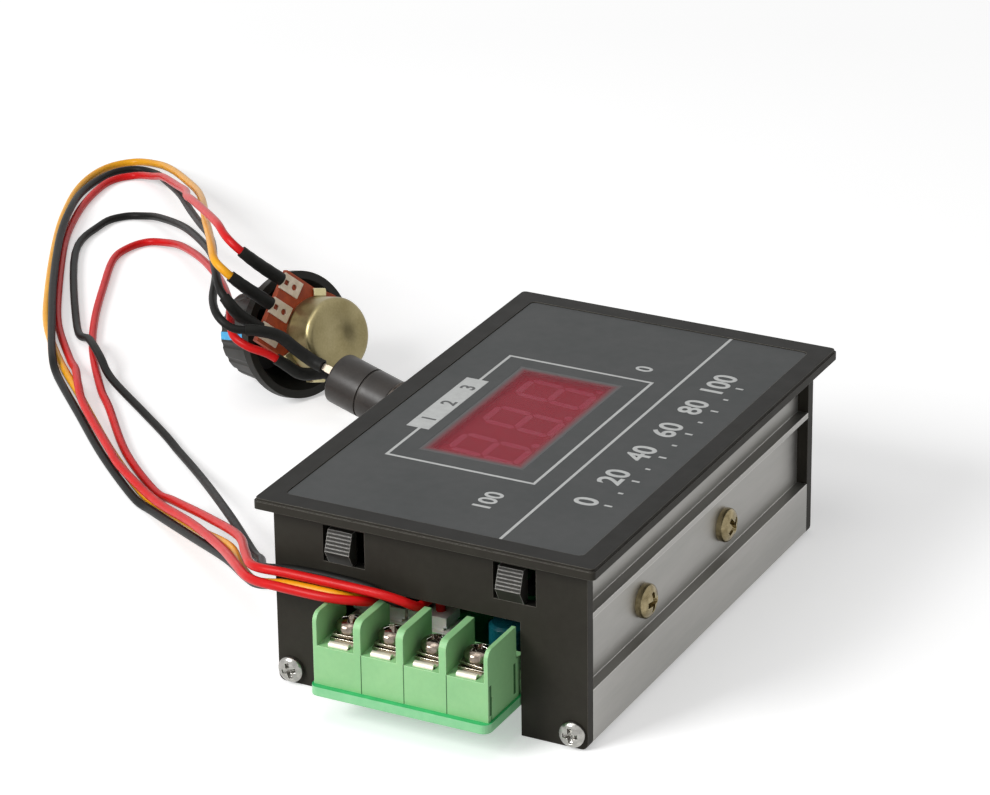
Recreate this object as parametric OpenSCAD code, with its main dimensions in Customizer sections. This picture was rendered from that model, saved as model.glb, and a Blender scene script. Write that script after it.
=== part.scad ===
// Panel-mount motor speed controller with a potentiometer and a push switch on flying leads.
// X runs across the short side, Y from the terminal end to the back, Z up from the table.

/* [Case] */
// Width of the bezel across the short side
bezel_w = 62; // [58:1:70]
// Length of the bezel
bezel_l = 98; // [92:1:110]
// Thickness of the bezel plate
bezel_t = 1.9; // [1.6:0.1:2.6]
// Height of the case from the table to the bezel face
case_h = 34; // [34:1:40]
// Thickness of the two end walls
wall = 2; // [1.6:0.1:2.6]
// Reach of the bezel past the body at each side
side_over = 2.4; // [1.6:0.1:3]
// Reach of the bezel past the body at the terminal end
front_over = 2.6; // [1.6:0.1:4]
// Reach of the bezel past the body at the back
back_over = 5; // [2:0.5:6]
// Plain border round the printed panel
overlay_border = 3.9; // [3:0.1:5]
// Depth of the pocket that holds the printed panel
overlay_pocket = 0.5; // [0.4:0.1:0.8]
// Thickness of the printed panel
overlay_t = 0.35; // [0.2:0.05:0.4]

/* [Display] */
// Width of the three digit display
led_w = 19; // [17:0.5:21]
// Length of the three digit display
led_l = 37.6; // [34:0.2:42]
// Height of the three digit display
led_h = 8; // [7:0.5:9]
// Place of the display across the case
led_x = -5.9; // [-8:0.1:0]
// Place of the display along the case
led_y = -1; // [-5:0.5:3]
// Thickness of the red filter
filter_t = 1; // [0.8:0.1:1.2]

/* [Snap tabs] */
// Width of the window round each snap tab
window_w = 7.7; // [7:0.1:9]
// Height of the window round each snap tab
window_h = 6.6; // [6:0.1:7]
// Distance from the case centre to each window centre
window_x = 15.6; // [13:0.2:18]
// Gap between the window and the bezel plate
window_drop = 1.6; // [1.2:0.1:1.8]
// Width of a snap tab
tab_w = 4.5; // [3.5:0.1:5.5]
// Reach of a snap tab past the wall
tab_proud = 1.4; // [1:0.1:1.8]

/* [Heat sinks] */
// Depth of the channel in the outer face of the heat sink
sink_channel = 2; // [1.5:0.1:2.2]
// Thickness of the heat sink web
sink_web = 1.8; // [1.6:0.1:2.2]
// Width of the solid foot of the heat sink
sink_foot_w = 5.2; // [5:0.1:6]
// Height of the top of the foot
sink_foot_top = 10.1; // [9.4:0.1:11]
// Height of the middle fin
sink_fin_z = 22.9; // [21:0.1:24]
// Thickness of the fins
sink_fin_t = 1; // [0.8:0.1:1.2]
// Height of the heat sink above the table
sink_lift = 0.8; // [0.6:0.1:1]

/* [Boards] */
// Height of the top of the main board
board_z = 7; // [6.8:0.1:7.4]
// Thickness of the circuit boards
board_t = 1.6; // [1.2:0.1:1.7]

/* [Terminal block] */
// Distance between neighbouring terminals
terminal_pitch = 7.8; // [7.4:0.1:7.8]
// Depth of the terminal block
block_d = 12.5; // [12:0.5:14]
// Height of the solid front of the block
block_step = 7; // [6.5:0.1:7]
// Height of the barrier walls
barrier_h = 12.8; // [12.5:0.1:13.4]
// Thickness of a barrier wall
barrier_t = 1.3; // [1:0.1:1.5]
// Reach of the block past the end wall
block_out = 10.3; // [10:0.1:11]
// Diameter of a terminal screw head
terminal_head_d = 5; // [4.4:0.1:5.2]

/* [Potentiometer] */
// Diameter of the metal can
can_d = 14.8; // [14:0.2:15.4]
// Depth of the metal can
can_h = 6.8; // [6:0.1:8]
// Distance between the lugs
lug_pitch = 5.2; // [4.8:0.1:5.4]
// Diameter of the shaft
shaft_d = 6; // [5.6:0.1:6.2]
// Diameter of the knob skirt
knob_d = 24.4; // [22:0.2:26]
// Diameter of the knob face
knob_face_d = 17; // [15:0.2:19]
// Length of the knob
knob_l = 14; // [13:0.5:16]
// Number of finger grooves round the knob
knob_grooves = 18; // [12:1:24]

/* [Switch] */
// Diameter of the switch barrel
barrel_d = 9.8; // [9.4:0.1:10.4]
// Length of the switch barrel
barrel_l = 13; // [13:0.5:16]
// Length of the threaded neck
neck_l = 9; // [8:0.5:10]
// Diameter of the push button
button_d = 7.8; // [7:0.1:8]
// Travel of the push button
button_travel = 2.5; // [2:0.1:2.6]

/* [Leads] */
// Outer diameter of a lead
lead_d = 1.6; // [1.4:0.1:1.6]
// Outer diameter of a shrink sleeve
sleeve_d = 2.6; // [2.3:0.1:2.6]

/* [Hidden] */

// General
overrun = 1;
clearance = 0.1;
round_fn = 32;
arc_steps = 5;

// Case places
body_x = bezel_w / 2 - side_over;
front_y = -bezel_l / 2 + front_over;
end_wall_round = 1.2;
back_y = bezel_l / 2 - back_over;
inner_front = front_y + wall;
inner_back = back_y - wall;
inner_l = inner_back - inner_front;
bezel_z = case_h - bezel_t;
bezel_round = 0.8;
bezel_chamfer = 0.5;
overlay_w = bezel_w - 2 * overlay_border;
overlay_l = bezel_l - 2 * overlay_border;
pocket_z = case_h - overlay_pocket;
overlay_top = pocket_z + overlay_t;
overlay_round = 1;
led_gap = 0.3;
hole_w = led_w + 2 * led_gap;
hole_l = led_l + 2 * led_gap;

// Opening round the terminal block
barrier_end_t = 0.7;
block_w = 4 * terminal_pitch + barrier_end_t;
opening_side_gap = 0.65;
opening_w = block_w + 2 * opening_side_gap;
opening_gap = 0.8;
opening_top = board_z + barrier_h + opening_gap;

// Snap tabs
window_top = bezel_z - window_drop;
window_bottom = window_top - window_h;
tab_gap = 0.2;
tab_bottom = window_bottom;
tab_top = window_top - 3 * tab_gap;
tab_t = 1.5;
tab_edge_rise = 2.5;
tab_offset = 0.6;
tab_tip_proud = 0.1;
tab_root_r = 0.5;
tooth_n = 6;
tooth_deep = 0.18;

// Heat sink section
sink_out = body_x;
web_out = sink_out - sink_channel;
web_in = web_out - sink_web;
foot_in = sink_out - sink_foot_w;
sink_top = bezel_z;
slot_play = 0.05;
board_slot = 1;
cover_lap = 2;
cover_front_gap = 8;

// Screws through the end walls into the heat sink feet
corner_screw_x = sink_out - sink_foot_w / 2;
corner_screw_z = 2.7;
corner_head_d = 4.6;
corner_head_h = 1.6;
corner_hole_d = 2.9;
corner_shank_d = 2.5;
corner_shank_l = 9;
corner_port_d = 2.54;
corner_port_l = 12;

// Screws through the heat sink webs into the clamp bars
side_screw_front = 24.7;
side_screw_gap = 32;
side_screw_ys = [front_y + side_screw_front, front_y + side_screw_front + side_screw_gap];
side_head_d = 6;
side_head_h = 2.2;
side_shank_d = 3;
side_hole_d = 3.4;
clamp_bore_d = 3.06;
clamp_t = 4;
clamp_margin = 6;
screw_end_gap = 0.4;

// Power devices pressed on the webs
device_w = 10.2;
device_t = 4.5;
device_tab_t = 1.3;
device_gap = 1.2;
device_lead_w = 0.8;
device_lead_t = 0.5;
device_lead_pitch = 2.54;
device_hole_d = 3.7;
device_hole_drop = 2.8;
pad_t = 0.05;

// Main board
board_x = foot_in + board_slot - clearance;
tongue_w = opening_w - 4 * clearance;
tongue_past = 1.1;
tongue_out = block_out + tongue_past;
tongue_round = 1.5;
board_end_gap = 0.1;

// Terminal parts
block_front = front_y - block_out;
block_back = block_front + block_d;
barrier_back_gap = 0.3;
barrier_l = block_out - barrier_back_gap;
barrier_round = 1.6;
slot_cut_w = 0.5;
slot_cut_deep = 0.35;
slot_cut_share = 0.6;
block_wall = 1;
contact_w = 3.6;
contact_t = 0.8;
contact_l = 8;
contact_front = 0.7;
screw_set = 5.2;
screw_y = block_front + screw_set;
clamp_plate_w = 5.2;
clamp_plate_t = 0.6;
clamp_gap = 0.1;
screw_bore_d = 3.06;
terminal_shank_d = 3;
terminal_shank_l = 6.4;
terminal_head_h = 2.2;
cross_w = 0.9;
cross_l_share = 0.62;
cross_deep_share = 0.5;
head_shares = [[1, 0.5], [0.9, 0.78], [0.66, 1]];

// Display board
led_top = overlay_top - filter_t - clearance;
led_bottom = led_top - led_h;
display_board_t = board_t;
display_board_z = led_bottom - display_board_t;
display_side_gap = 1.9;
display_board_w = 2 * (web_in + led_x - display_side_gap);
cap_d = 12.5;
cap_back_gap = 3.25;
cap_board_gap = 0.25;
cap_y = inner_back - cap_back_gap - cap_d / 2;
display_board_l = 2 * (cap_y - cap_d / 2 - cap_board_gap - led_y);
boss_inset_x = 3.2;
boss_inset_y = 3.6;
boss_d = 5;
pilot_d = 2.06;
display_screw_d = 2;
display_screw_l = 6;
display_head_d = 4;
display_head_h = 1.3;
display_hole_d = 2.4;

// Heights under the display board
side_screw_share = 0.42;
clamp_share = 0.61;
device_lift = 0.1;
device_body_share = 0.7;
device_share = 1.15;
room_h = display_board_z - sink_foot_top;
side_screw_z = sink_foot_top + side_screw_share * room_h;
clamp_h = clamp_share * room_h;
device_rise = sink_foot_top + device_lift - board_z;
device_body_h = device_body_share * room_h;
device_h = device_share * room_h;

// Parts on the main board
link_pin = 0.64;
link_pitch = 2.54;
link_screw_gap = 2.5;
link_n = 2 * floor((display_board_w / 2 - boss_inset_x - display_head_d / 2 - link_screw_gap)
    / link_pitch);
link_base_h = 2.5;
link_x = led_x;
link_y = led_y + display_board_l / 2 - boss_inset_y;
cap_h = display_board_z - board_z - cap_board_gap;
cap_base_gap = 0.4;
cap_groove = 0.5;
cap_groove_z = 2.2;
cap_xs = [-8.5, 6.5];
small_cap_d = 6.3;
small_cap_h = 9;
small_cap_x = 10.5;
small_cap_gap = 2.35;
small_cap_y = inner_front + small_cap_gap + small_cap_d / 2;
chip_w = 7.5;
chip_l = 10;
chip_h = 2;
chip_x = 4;
chip_y = -8;
chip_leads = 7;
chip_lead_pitch = 1.27;
chip_lead_w = 0.5;
chip_lead_l = 1.2;
chip_lead_t = 0.3;

// Lead connectors
pin_pitch = 2.5;
socket_ends = 4.8;
socket_wall = 0.8;
socket_d = 5.8;
socket_h = 6;
plug_d = socket_d - 2 * socket_wall - 2 * clearance;
plug_rise = 8.6;
plug_lift = 1.6;
socket_wall_gap = 2;
socket_y = inner_front + socket_wall_gap + socket_d / 2;
pot_socket_x = -11.8;
switch_socket_x = -2.8;
plug_top = board_z + plug_rise;
plug_cap = 0.8;
plug_cap_h = 1.8;

// Potentiometer pose: it lies on the front edge of its knob
skirt_gap = 4.5;
pot_tilt = 16;
pot_az = 158.3;
pot_roll = 133;
pot_skirt_x = -83.3;
pot_skirt_y = 57.8;
rest_gap = 0.15;
pot_skirt_z = knob_l * sin(pot_tilt) + knob_face_d / 2 * cos(pot_tilt) + rest_gap;
pot_axis = [cos(pot_tilt) * cos(pot_az), cos(pot_tilt) * sin(pot_az), -sin(pot_tilt)];
pot_org = [pot_skirt_x, pot_skirt_y, pot_skirt_z] - skirt_gap * pot_axis;
pot_down = [-sin(pot_tilt) * cos(pot_az), -sin(pot_tilt) * sin(pot_az), -cos(pot_tilt)];
pot_side = cross(pot_axis, pot_down);
lug_dir = cos(pot_roll) * pot_down + sin(pot_roll) * pot_side;
lug_row = cross(pot_axis, lug_dir);

// Potentiometer parts
pot_board_t = 1.3;
pot_board_rim = 1.1;
pot_board_r = can_d / 2 + pot_board_rim;
pot_board_reach = 12.2;
pot_board_side = 2.3;
pot_board_half = lug_pitch + pot_board_side;
can_wall = 0.5;
can_round = 1.2;
plate_t = 0.9;
plate_rim = 0.4;
plate_r = can_d / 2 + plate_rim;
bush_d = 7;
bush_l = 6;
neck_d = 4.7;
neck_play = 0.05;
rotor_d = 10;
rotor_t = 1.2;
rotor_gap = 0.4;
pot_shaft_l = 16;
pot_washer_t = 0.8;
pot_washer_d = 11;
pot_nut_t = 2;
pot_nut_af = 10;
lug_t = 0.4;
lug_w = 3.2;
lug_gap = 0.5;
lug_start = can_d / 2 + lug_gap;
lug_plate_end = 12.6;
lug_tip = 14.2;
lug_tail_w = 1.2;
lug_hole_d = 1.2;
lug_slot_w = 1;
lug_z = -pot_board_t - lug_t / 2;
knob_skirt_h = 2;
knob_step = 3.2;
knob_body_d = knob_d - knob_step;
knob_ramp = 1;
knob_wall = 1.5;
knob_hub_d = 9;
knob_front_t = 2;
hub_recess = 4.2;
knob_hub_start = skirt_gap + hub_recess;
groove_d = 2.2;
groove_out_share = 0.42;
pointer_w = 1.5;
pointer_deep = 0.7;
pointer_angle = 102;
pointer_inner = 2;

// Switch pose: it lies on its front flange
switch_pitch = 12;
switch_az = -9;
switch_x = -67.4;
switch_y = 44.9;
flange_d = 12.8;
flange_t = 1.6;
flange_z = barrel_l + neck_l;
switch_z = flange_d / 2 * cos(switch_pitch) + (flange_z + flange_t) * sin(switch_pitch) + rest_gap;
switch_axis = [cos(switch_pitch) * cos(switch_az), cos(switch_pitch) * sin(switch_az),
    -sin(switch_pitch)];
switch_down = [-sin(switch_pitch) * cos(switch_az), -sin(switch_pitch) * sin(switch_az),
    -cos(switch_pitch)];
switch_org = [switch_x, switch_y, switch_z];
neck_thread_d = 10.6;
barrel_bore_d = 7.2;
barrel_floor = 2.2;
seam_z = 7;
seam_w = 0.4;
seam_deep = 0.3;
stem_d = 4;
stem_play = 0.06;
shoulder_d = 6.8;
shoulder_t = 1.2;
cap_pocket = 4.6;
button_play = 0.1;
button_out = 3.2;
switch_nut_af = 12.4;
switch_nut_t = 2.4;
switch_nut_gap = 3.2;
switch_nut_z = barrel_l + switch_nut_gap;
switch_lug_gap = 2.1;
switch_lug_l = 2.4;
switch_lug_tip = 3.2;
switch_roll = 225;
switch_lug_w = 1.4;

// Shrink sleeves
lead_play = 0.1;
sleeve_back = 1.4;
switch_sleeve_back = 0.3;

// Routes of the leads, from the case end of the loop to the far part, in millimetres
route_red_outer = [[-87.1, 45.9, 32], [-89.3, 45.1, 34], [-92.3, 46.6, 35.1], [-98, 52.8, 34.7],
    [-116.3, 74.8, 28], [-126.1, 88.3, 22.6], [-136.8, 105.1, 16.1], [-148.1, 120, 10.2],
    [-159.7, 133.3, 5.5], [-165.8, 138.7, 2.8], [-172, 141.4, 1], [-175.4, 136.4, 0.8],
    [-174, 125.6, 0.8], [-170.2, 113.8, 0.8], [-164.4, 101, 0.8], [-153.1, 81.1, 0.8],
    [-142.9, 64.8, 0.8], [-131.5, 51, 0.9], [-126, 44.6, 2.1], [-121, 37.6, 2.8], [-114.7, 29.8, 2.5],
    [-100.7, 15.8, 2.5], [-93.7, 9.1, 2.5], [-79.7, -1.8, 3.3], [-64, -14.8, 7.6], [-48.4, -31, 13.4],
    [-38.4, -43.2, 18], [-31.2, -50.4, 19.9], [-24, -52.4, 20.7], [-15.5, -52.6, 20.8],
    [-11.2, -51.1, 20.5], [-9.5, -49, 19.8], [-9.3, -46.6, 19.6], [-9.3, -42.8, 19.3],
    [-9.3, -41, 18.8], [-9.3, -39.9, 17.7], [-9.3, -39.5, 16.4]];
route_yellow = [[-87.4, 42.2, 28.3], [-89.5, 41.3, 30.3], [-92.4, 42.7, 31.5], [-97.2, 49.6, 31.2],
    [-103.8, 59.7, 28.9], [-112, 72, 25.9], [-124.6, 91.7, 20.4], [-137, 110.1, 14.2],
    [-148.8, 125.1, 9.3], [-160.5, 138.7, 5], [-169, 146.3, 2.4], [-176.5, 148.4, 1],
    [-180.4, 142.6, 0.8], [-179.6, 131.4, 0.8], [-174, 116.2, 0.8], [-166.6, 101, 0.8],
    [-154.9, 80, 0.8], [-144.6, 63.4, 0.8], [-133, 49.6, 0.8], [-121, 37.6, 0.8], [-114, 30.4, 0.8],
    [-100, 16.4, 0.8], [-86, 4, 0.8], [-78.9, -0.8, 1.5], [-63.5, -13.6, 5.9], [-47.6, -29.4, 13],
    [-38, -41.6, 16.4], [-31, -48.6, 18.6], [-24, -50.4, 20.4], [-16.5, -50.8, 20.7],
    [-13.4, -50.3, 20.4], [-12, -48.6, 19.8], [-11.8, -46.6, 19.7], [-11.8, -42.8, 19.3],
    [-11.8, -41, 18.8], [-11.8, -39.9, 17.7], [-11.8, -39.5, 16.4]];
route_black_outer = [[-87.7, 39.6, 24.7], [-90, 40.4, 26.7], [-93.3, 44.5, 27.9], [-98.1, 51.7, 27.2],
    [-105, 62.8, 24.8], [-113.5, 75.3, 21.4], [-124.6, 90.2, 16.5], [-137.3, 107.3, 11.1],
    [-149.5, 123.2, 6.9], [-161.2, 136.9, 3], [-168.4, 144, 1.2], [-174.4, 145, 0.8],
    [-177.8, 139.6, 0.8], [-176.9, 128.6, 1.3], [-172.2, 116, 2.5], [-165.5, 101.2, 2.5],
    [-154, 80.6, 2.5], [-143.8, 64, 2.5], [-133.9, 48.6, 2.3], [-128.5, 42.2, 0.8], [-115.4, 29, 0.8],
    [-101.4, 15, 0.8], [-87.2, 2.4, 0.8], [-80.1, -2.4, 1.4], [-64.4, -15.4, 5.6], [-48, -30.2, 11.1],
    [-37.8, -40.6, 14.4], [-31, -46.9, 17.3], [-21.5, -48.7, 20.4], [-17.4, -49.1, 20.7],
    [-15.2, -48.7, 20.7], [-14.4, -47.4, 19.8], [-14.3, -46, 19.5], [-14.3, -42.8, 19.3],
    [-14.3, -41, 18.8], [-14.3, -39.9, 17.7], [-14.3, -39.5, 16.4]];
route_red_inner = [[-72, 46.75, 10.8], [-73.5, 45.9, 10.6], [-75.6, 44.1, 11], [-78, 42.7, 13],
    [-80.6, 40.9, 15.3], [-84, 39.2, 16.9], [-87.9, 40.5, 18.4], [-92, 46.8, 21], [-99.6, 57, 20],
    [-110.4, 71, 16], [-123.4, 87.4, 10.4], [-137.9, 104.3, 4], [-144.6, 109.2, 1.8],
    [-149.6, 109.6, 0.9], [-151.6, 105, 0.8], [-150.9, 98.4, 0.8], [-145.4, 86, 0.8],
    [-137.9, 70.6, 0.8], [-129.7, 56.6, 0.8], [-118.4, 41.4, 0.8], [-112, 34.2, 0.8],
    [-98.4, 18.2, 0.8], [-84.6, 5.8, 1], [-77.6, 0.9, 2.6], [-62.4, -12.4, 8.2], [-46.6, -28.2, 14.8],
    [-37.2, -41.6, 19.5], [-31, -49.4, 21.8], [-24, -50.4, 22.4], [-14, -50.4, 22.4],
    [-7, -50.2, 22.2], [-3.6, -49.4, 21.4], [-2.2, -48.4, 20.5], [-1.6, -47.1, 19.7],
    [-1.55, -45.8, 19.5], [-1.55, -42.8, 19.3], [-1.55, -41, 18.8], [-1.55, -39.9, 17.7],
    [-1.55, -39.5, 16.4]];
route_black_inner = [[-72.8, 43.9, 14.2], [-75.5, 43.1, 16.2], [-78.6, 41.9, 18.9],
    [-81.7, 39.3, 20.4], [-85.4, 37.2, 20.9], [-88.8, 37.5, 22.5], [-92.6, 41.8, 23.6],
    [-97, 50.4, 24.4], [-104.6, 62.6, 21.6], [-116.6, 79.6, 16.4], [-136.9, 104.7, 8],
    [-151.3, 118.1, 3], [-157.6, 121.4, 1.2], [-162, 119.8, 0.8], [-163.6, 113.6, 0.8],
    [-160, 98.2, 0.8], [-138.6, 65, 0.8], [-130.4, 56.8, 2.8], [-124, 50.4, 2.9], [-117.8, 44.6, 1.6],
    [-103.1, 33.8, 0.8], [-90.7, 23.7, 0.8], [-76.8, 10.1, 3], [-57.8, -12, 9], [-42, -31, 13.8],
    [-36.4, -38, 16.8], [-30.2, -47.2, 20.7], [-24, -48.3, 22.1], [-17, -48.3, 22.3],
    [-10, -48.6, 22.1], [-6.6, -48.8, 21.1], [-4.9, -48.4, 20.4], [-4.1, -47.2, 19.7],
    [-4.05, -45.8, 19.5], [-4.05, -42.8, 19.3], [-4.05, -41, 18.8], [-4.05, -39.9, 17.7],
    [-4.05, -39.5, 16.4]];
lead_sides = 8;
floor_gap = 0.01;

// A rounded rectangle as points
function corner_arc(cx, cy, r, a0) =
    [for (i = [0:arc_steps]) let (a = a0 + 90 * i / arc_steps) [cx + r * cos(a), cy + r * sin(a)]];
function round_rect(w, l, r) = concat(corner_arc(w / 2 - r, l / 2 - r, r, 0),
    corner_arc(r - w / 2, l / 2 - r, r, 90), corner_arc(r - w / 2, r - l / 2, r, 180),
    corner_arc(w / 2 - r, r - l / 2, r, 270));

// Sweep helpers
function unit(v) = v / norm(v);
function spline(a, b, c, d, t) = 0.5 * (2 * b + (c - a) * t + (2 * a - 5 * b + 4 * c - d) * t * t
    + (3 * b - a - 3 * c + d) * t * t * t);
function smooth(p) = let (n = len(p) - 1)
    [for (i = [0:n], h = [0:(i == n ? 0 : 1)])
        h == 0 ? p[i] : spline(p[max(i - 1, 0)], p[i], p[i + 1], p[min(i + 2, n)], 0.5)];
function floored(p) = [for (q = p) [q.x, q.y, max(q.z, lead_d / 2 + floor_gap)]];
function tangents(p) = let (n = len(p) - 1)
    [for (i = [0:n]) unit(p[min(i + 1, n)] - p[max(i - 1, 0)])];
function carry(ts, i, m, out) = i == len(ts) ? out
    : let (k = unit(m - (m * ts[i]) * ts[i])) carry(ts, i + 1, k, concat(out, [k]));
function rings(p, r, first) = let (ts = tangents(p), ms = carry(ts, 0, first, []))
    [for (i = [0:len(p) - 1], j = [0:lead_sides - 1])
        let (a = 360 * j / lead_sides) p[i] + r * (cos(a) * ms[i] + sin(a) * cross(ts[i], ms[i]))];
function band(n, base, flip) = [for (i = [0:n - 2], j = [0:lead_sides - 1])
    let (a = base + i * lead_sides + j, b = base + i * lead_sides + (j + 1) % lead_sides,
        q = [a, b, b + lead_sides, a + lead_sides])
    each flip ? [[q[0], q[1], q[2]], [q[0], q[2], q[3]]] : [[q[0], q[2], q[1]], [q[0], q[3], q[2]]]];

module lead(p, first) {
    n = len(p);
    last = (n - 1) * lead_sides;
    ends = [[for (j = [0:lead_sides - 1]) j], [for (j = [lead_sides - 1:-1:0]) last + j]];
    polyhedron(rings(p, lead_d / 2, first), concat(ends, band(n, 0, false)));
}

module sleeve(p, first) {
    n = len(p);
    inner = n * lead_sides;
    last = (n - 1) * lead_sides;
    pts = concat(rings(p, sleeve_d / 2, first), rings(p, lead_d / 2 + lead_play, first));
    caps = [for (j = [0:lead_sides - 1]) let (k = (j + 1) % lead_sides)
        each [[j, k, inner + k], [j, inner + k, inner + j],
            [last + j, inner + last + k, last + k], [last + j, inner + last + j, inner + last + k]]];
    polyhedron(pts, concat(caps, band(n, 0, false), band(n, inner, true)));
}

// Lead ends at the potentiometer and at the switch
function lug_point(k, r) = pot_org + r * lug_dir + k * lug_pitch * lug_row + lug_z * pot_axis;
switch_row = cos(switch_roll) * switch_down + sin(switch_roll) * cross(switch_axis, switch_down);
function switch_point(s, r) = switch_org - r * switch_axis - s * switch_lug_gap * switch_row;
pot_lead_step = 4;
switch_lead_gap = 0.4;
function at_plug(route) = let (q = route[len(route) - 1]) [q.x, q.y, plug_top];
function pot_lead(k, route) = floored(smooth(concat([lug_point(k, lug_tip),
    lug_point(k, lug_tip + pot_lead_step)], route, [at_plug(route)])));
function switch_lead(s, route) = floored(smooth(concat(
    [switch_point(s, switch_lug_tip + switch_lead_gap)], route, [at_plug(route)])));
function first_of(p, n) = [for (i = [0:n - 1]) p[i]];
function sleeved(p, n, back) = concat([p[0] - back * unit(p[1] - p[0])], first_of(p, n));
path_red_outer = pot_lead(1, route_red_outer);
path_yellow = pot_lead(0, route_yellow);
path_black_outer = pot_lead(-1, route_black_outer);
path_red_inner = switch_lead(1, route_red_inner);
path_black_inner = switch_lead(-1, route_black_inner);
pot_sleeve_rings = 6;
switch_sleeve_rings = 10;

// Placing helpers
module at_pot() {
    translate(pot_org) rotate([0, 90 + pot_tilt, pot_az]) children();
}
module at_switch() {
    translate(switch_org) rotate([0, 90 + switch_pitch, switch_az]) children();
}
module both_sides() {
    for (s = [-1, 1]) scale([s, 1, 1]) children();
}
module bore(d, h) {
    cylinder(d = d, h = h, $fn = round_fn);
}
module block(x0, x1, y0, y1, z0, z1) {
    translate([x0, y0, z0]) cube([x1 - x0, y1 - y0, z1 - z0]);
}
module cross_cut(d, deep) {
    l = d * cross_l_share;
    translate([-l / 2, -cross_w / 2, -deep]) cube([l, cross_w, deep + overrun]);
    translate([-cross_w / 2, -l / 2, -deep]) cube([cross_w, l, deep + overrun]);
}
// A pan head screw that points down from its seat at zero, with its head above
module pan_screw(head_d, head_h, shank_d, shank_l) {
    difference() {
        union() {
            rotate_extrude($fn = round_fn)
                polygon([[0, 0], [head_d / 2, 0], for (q = head_shares) [head_d / 2 * q.x, head_h * q.y],
                    [0, head_h]]);
            translate([0, 0, -shank_l]) bore(shank_d, shank_l);
        }
        translate([0, 0, head_h]) cross_cut(head_d, head_h * cross_deep_share);
    }
}

// Case. An end wall reaches into the bezel plate above it
module end_wall(y0, y1) {
    top = bezel_z + bezel_t / 2;
    translate([0, y1, 0]) rotate([90, 0, 0]) linear_extrude(y1 - y0)
        polygon(concat([[body_x, top], [-body_x, top]],
            corner_arc(end_wall_round - body_x, end_wall_round, end_wall_round, 180),
            corner_arc(body_x - end_wall_round, end_wall_round, end_wall_round, 270)));
}

module end_wall_holes() {
    for (s = [-1, 1]) {
        translate([s * window_x - window_w / 2, -overrun, window_bottom])
            cube([window_w, wall + 2 * overrun, window_h]);
        translate([s * corner_screw_x, -overrun, corner_screw_z]) rotate([-90, 0, 0])
            bore(corner_hole_d, wall + 2 * overrun);
    }
}

module housing() {
    color("#363532") difference() {
        union() {
            translate([0, 0, bezel_z]) linear_extrude(bezel_t - bezel_chamfer)
                polygon(round_rect(bezel_w, bezel_l, bezel_round));
            translate([0, 0, case_h - bezel_chamfer]) linear_extrude(bezel_chamfer)
                polygon(round_rect(bezel_w - bezel_chamfer, bezel_l - bezel_chamfer, bezel_round));
            difference() {
                end_wall(front_y, inner_front);
                translate([0, front_y, 0]) end_wall_holes();
                block(-opening_w / 2, opening_w / 2, front_y - overrun, inner_front + overrun,
                    -overrun, opening_top);
            }
            difference() {
                end_wall(inner_back, back_y);
                translate([0, inner_back, 0]) end_wall_holes();
            }
            for (p = boss_places()) translate([p.x, p.y, led_bottom])
                bore(boss_d, bezel_z - led_bottom);
        }
        translate([0, 0, pocket_z]) linear_extrude(overlay_pocket + overrun)
            polygon(round_rect(overlay_w, overlay_l, overlay_round));
        block(led_x - hole_w / 2, led_x + hole_w / 2, led_y - hole_l / 2, led_y + hole_l / 2,
            bezel_z - overrun, case_h + overrun);
        for (p = boss_places()) translate([p.x, p.y, led_bottom - overrun])
            bore(pilot_d, display_screw_l + overrun);
    }
}

function boss_places() = [for (sx = [-1, 1], sy = [-1, 1])
    [led_x + sx * (display_board_w / 2 - boss_inset_x),
        led_y + sy * (display_board_l / 2 - boss_inset_y)]];

module overlay_panel() {
    w = overlay_w - 2 * clearance;
    l = overlay_l - 2 * clearance;
    color("#565858") difference() {
        translate([0, 0, pocket_z]) linear_extrude(overlay_t) polygon(round_rect(w, l, overlay_round));
        block(led_x - hole_w / 2, led_x + hole_w / 2, led_y - hole_l / 2, led_y + hole_l / 2,
            pocket_z - overrun, overlay_top + overrun);
    }
}

module display_filter() {
    w = hole_w - clearance;
    l = hole_l - clearance;
    color("#a03045") block(led_x - w / 2, led_x + w / 2, led_y - l / 2, led_y + l / 2,
        overlay_top - filter_t, overlay_top);
}

module sink_section() {
    polygon([[foot_in, sink_lift], [sink_out, sink_lift], [sink_out, sink_foot_top],
        [web_out, sink_foot_top], [web_out, sink_fin_z], [sink_out, sink_fin_z],
        [sink_out, sink_fin_z + sink_fin_t], [web_out, sink_fin_z + sink_fin_t],
        [web_out, sink_top - sink_fin_t], [sink_out, sink_top - sink_fin_t], [sink_out, sink_top],
        [web_in, sink_top], [web_in, sink_foot_top], [foot_in, sink_foot_top],
        [foot_in, board_z + slot_play], [foot_in + board_slot, board_z + slot_play],
        [foot_in + board_slot, board_z - board_t - slot_play],
        [foot_in, board_z - board_t - slot_play]]);
}

module heat_sink() {
    difference() {
        translate([0, inner_back, 0]) rotate([90, 0, 0]) linear_extrude(inner_l) sink_section();
        for (y = side_screw_ys) translate([web_in - overrun, y, side_screw_z]) rotate([0, 90, 0])
            bore(side_hole_d, sink_web + 2 * overrun);
        for (e = [inner_front - overrun, inner_back - corner_port_l])
            translate([corner_screw_x, e, corner_screw_z]) rotate([-90, 0, 0])
                bore(corner_port_d, corner_port_l + overrun);
    }
}

module heat_sink_right() {
    color("#96948e") heat_sink();
}

module heat_sink_left() {
    color("#96948e") mirror([1, 0, 0]) heat_sink();
}

module bottom_cover() {
    x = foot_in + cover_lap;
    color("#2e2e2c") block(-x, x, inner_front + cover_front_gap, inner_back - board_end_gap, 0, sink_lift);
}

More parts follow.
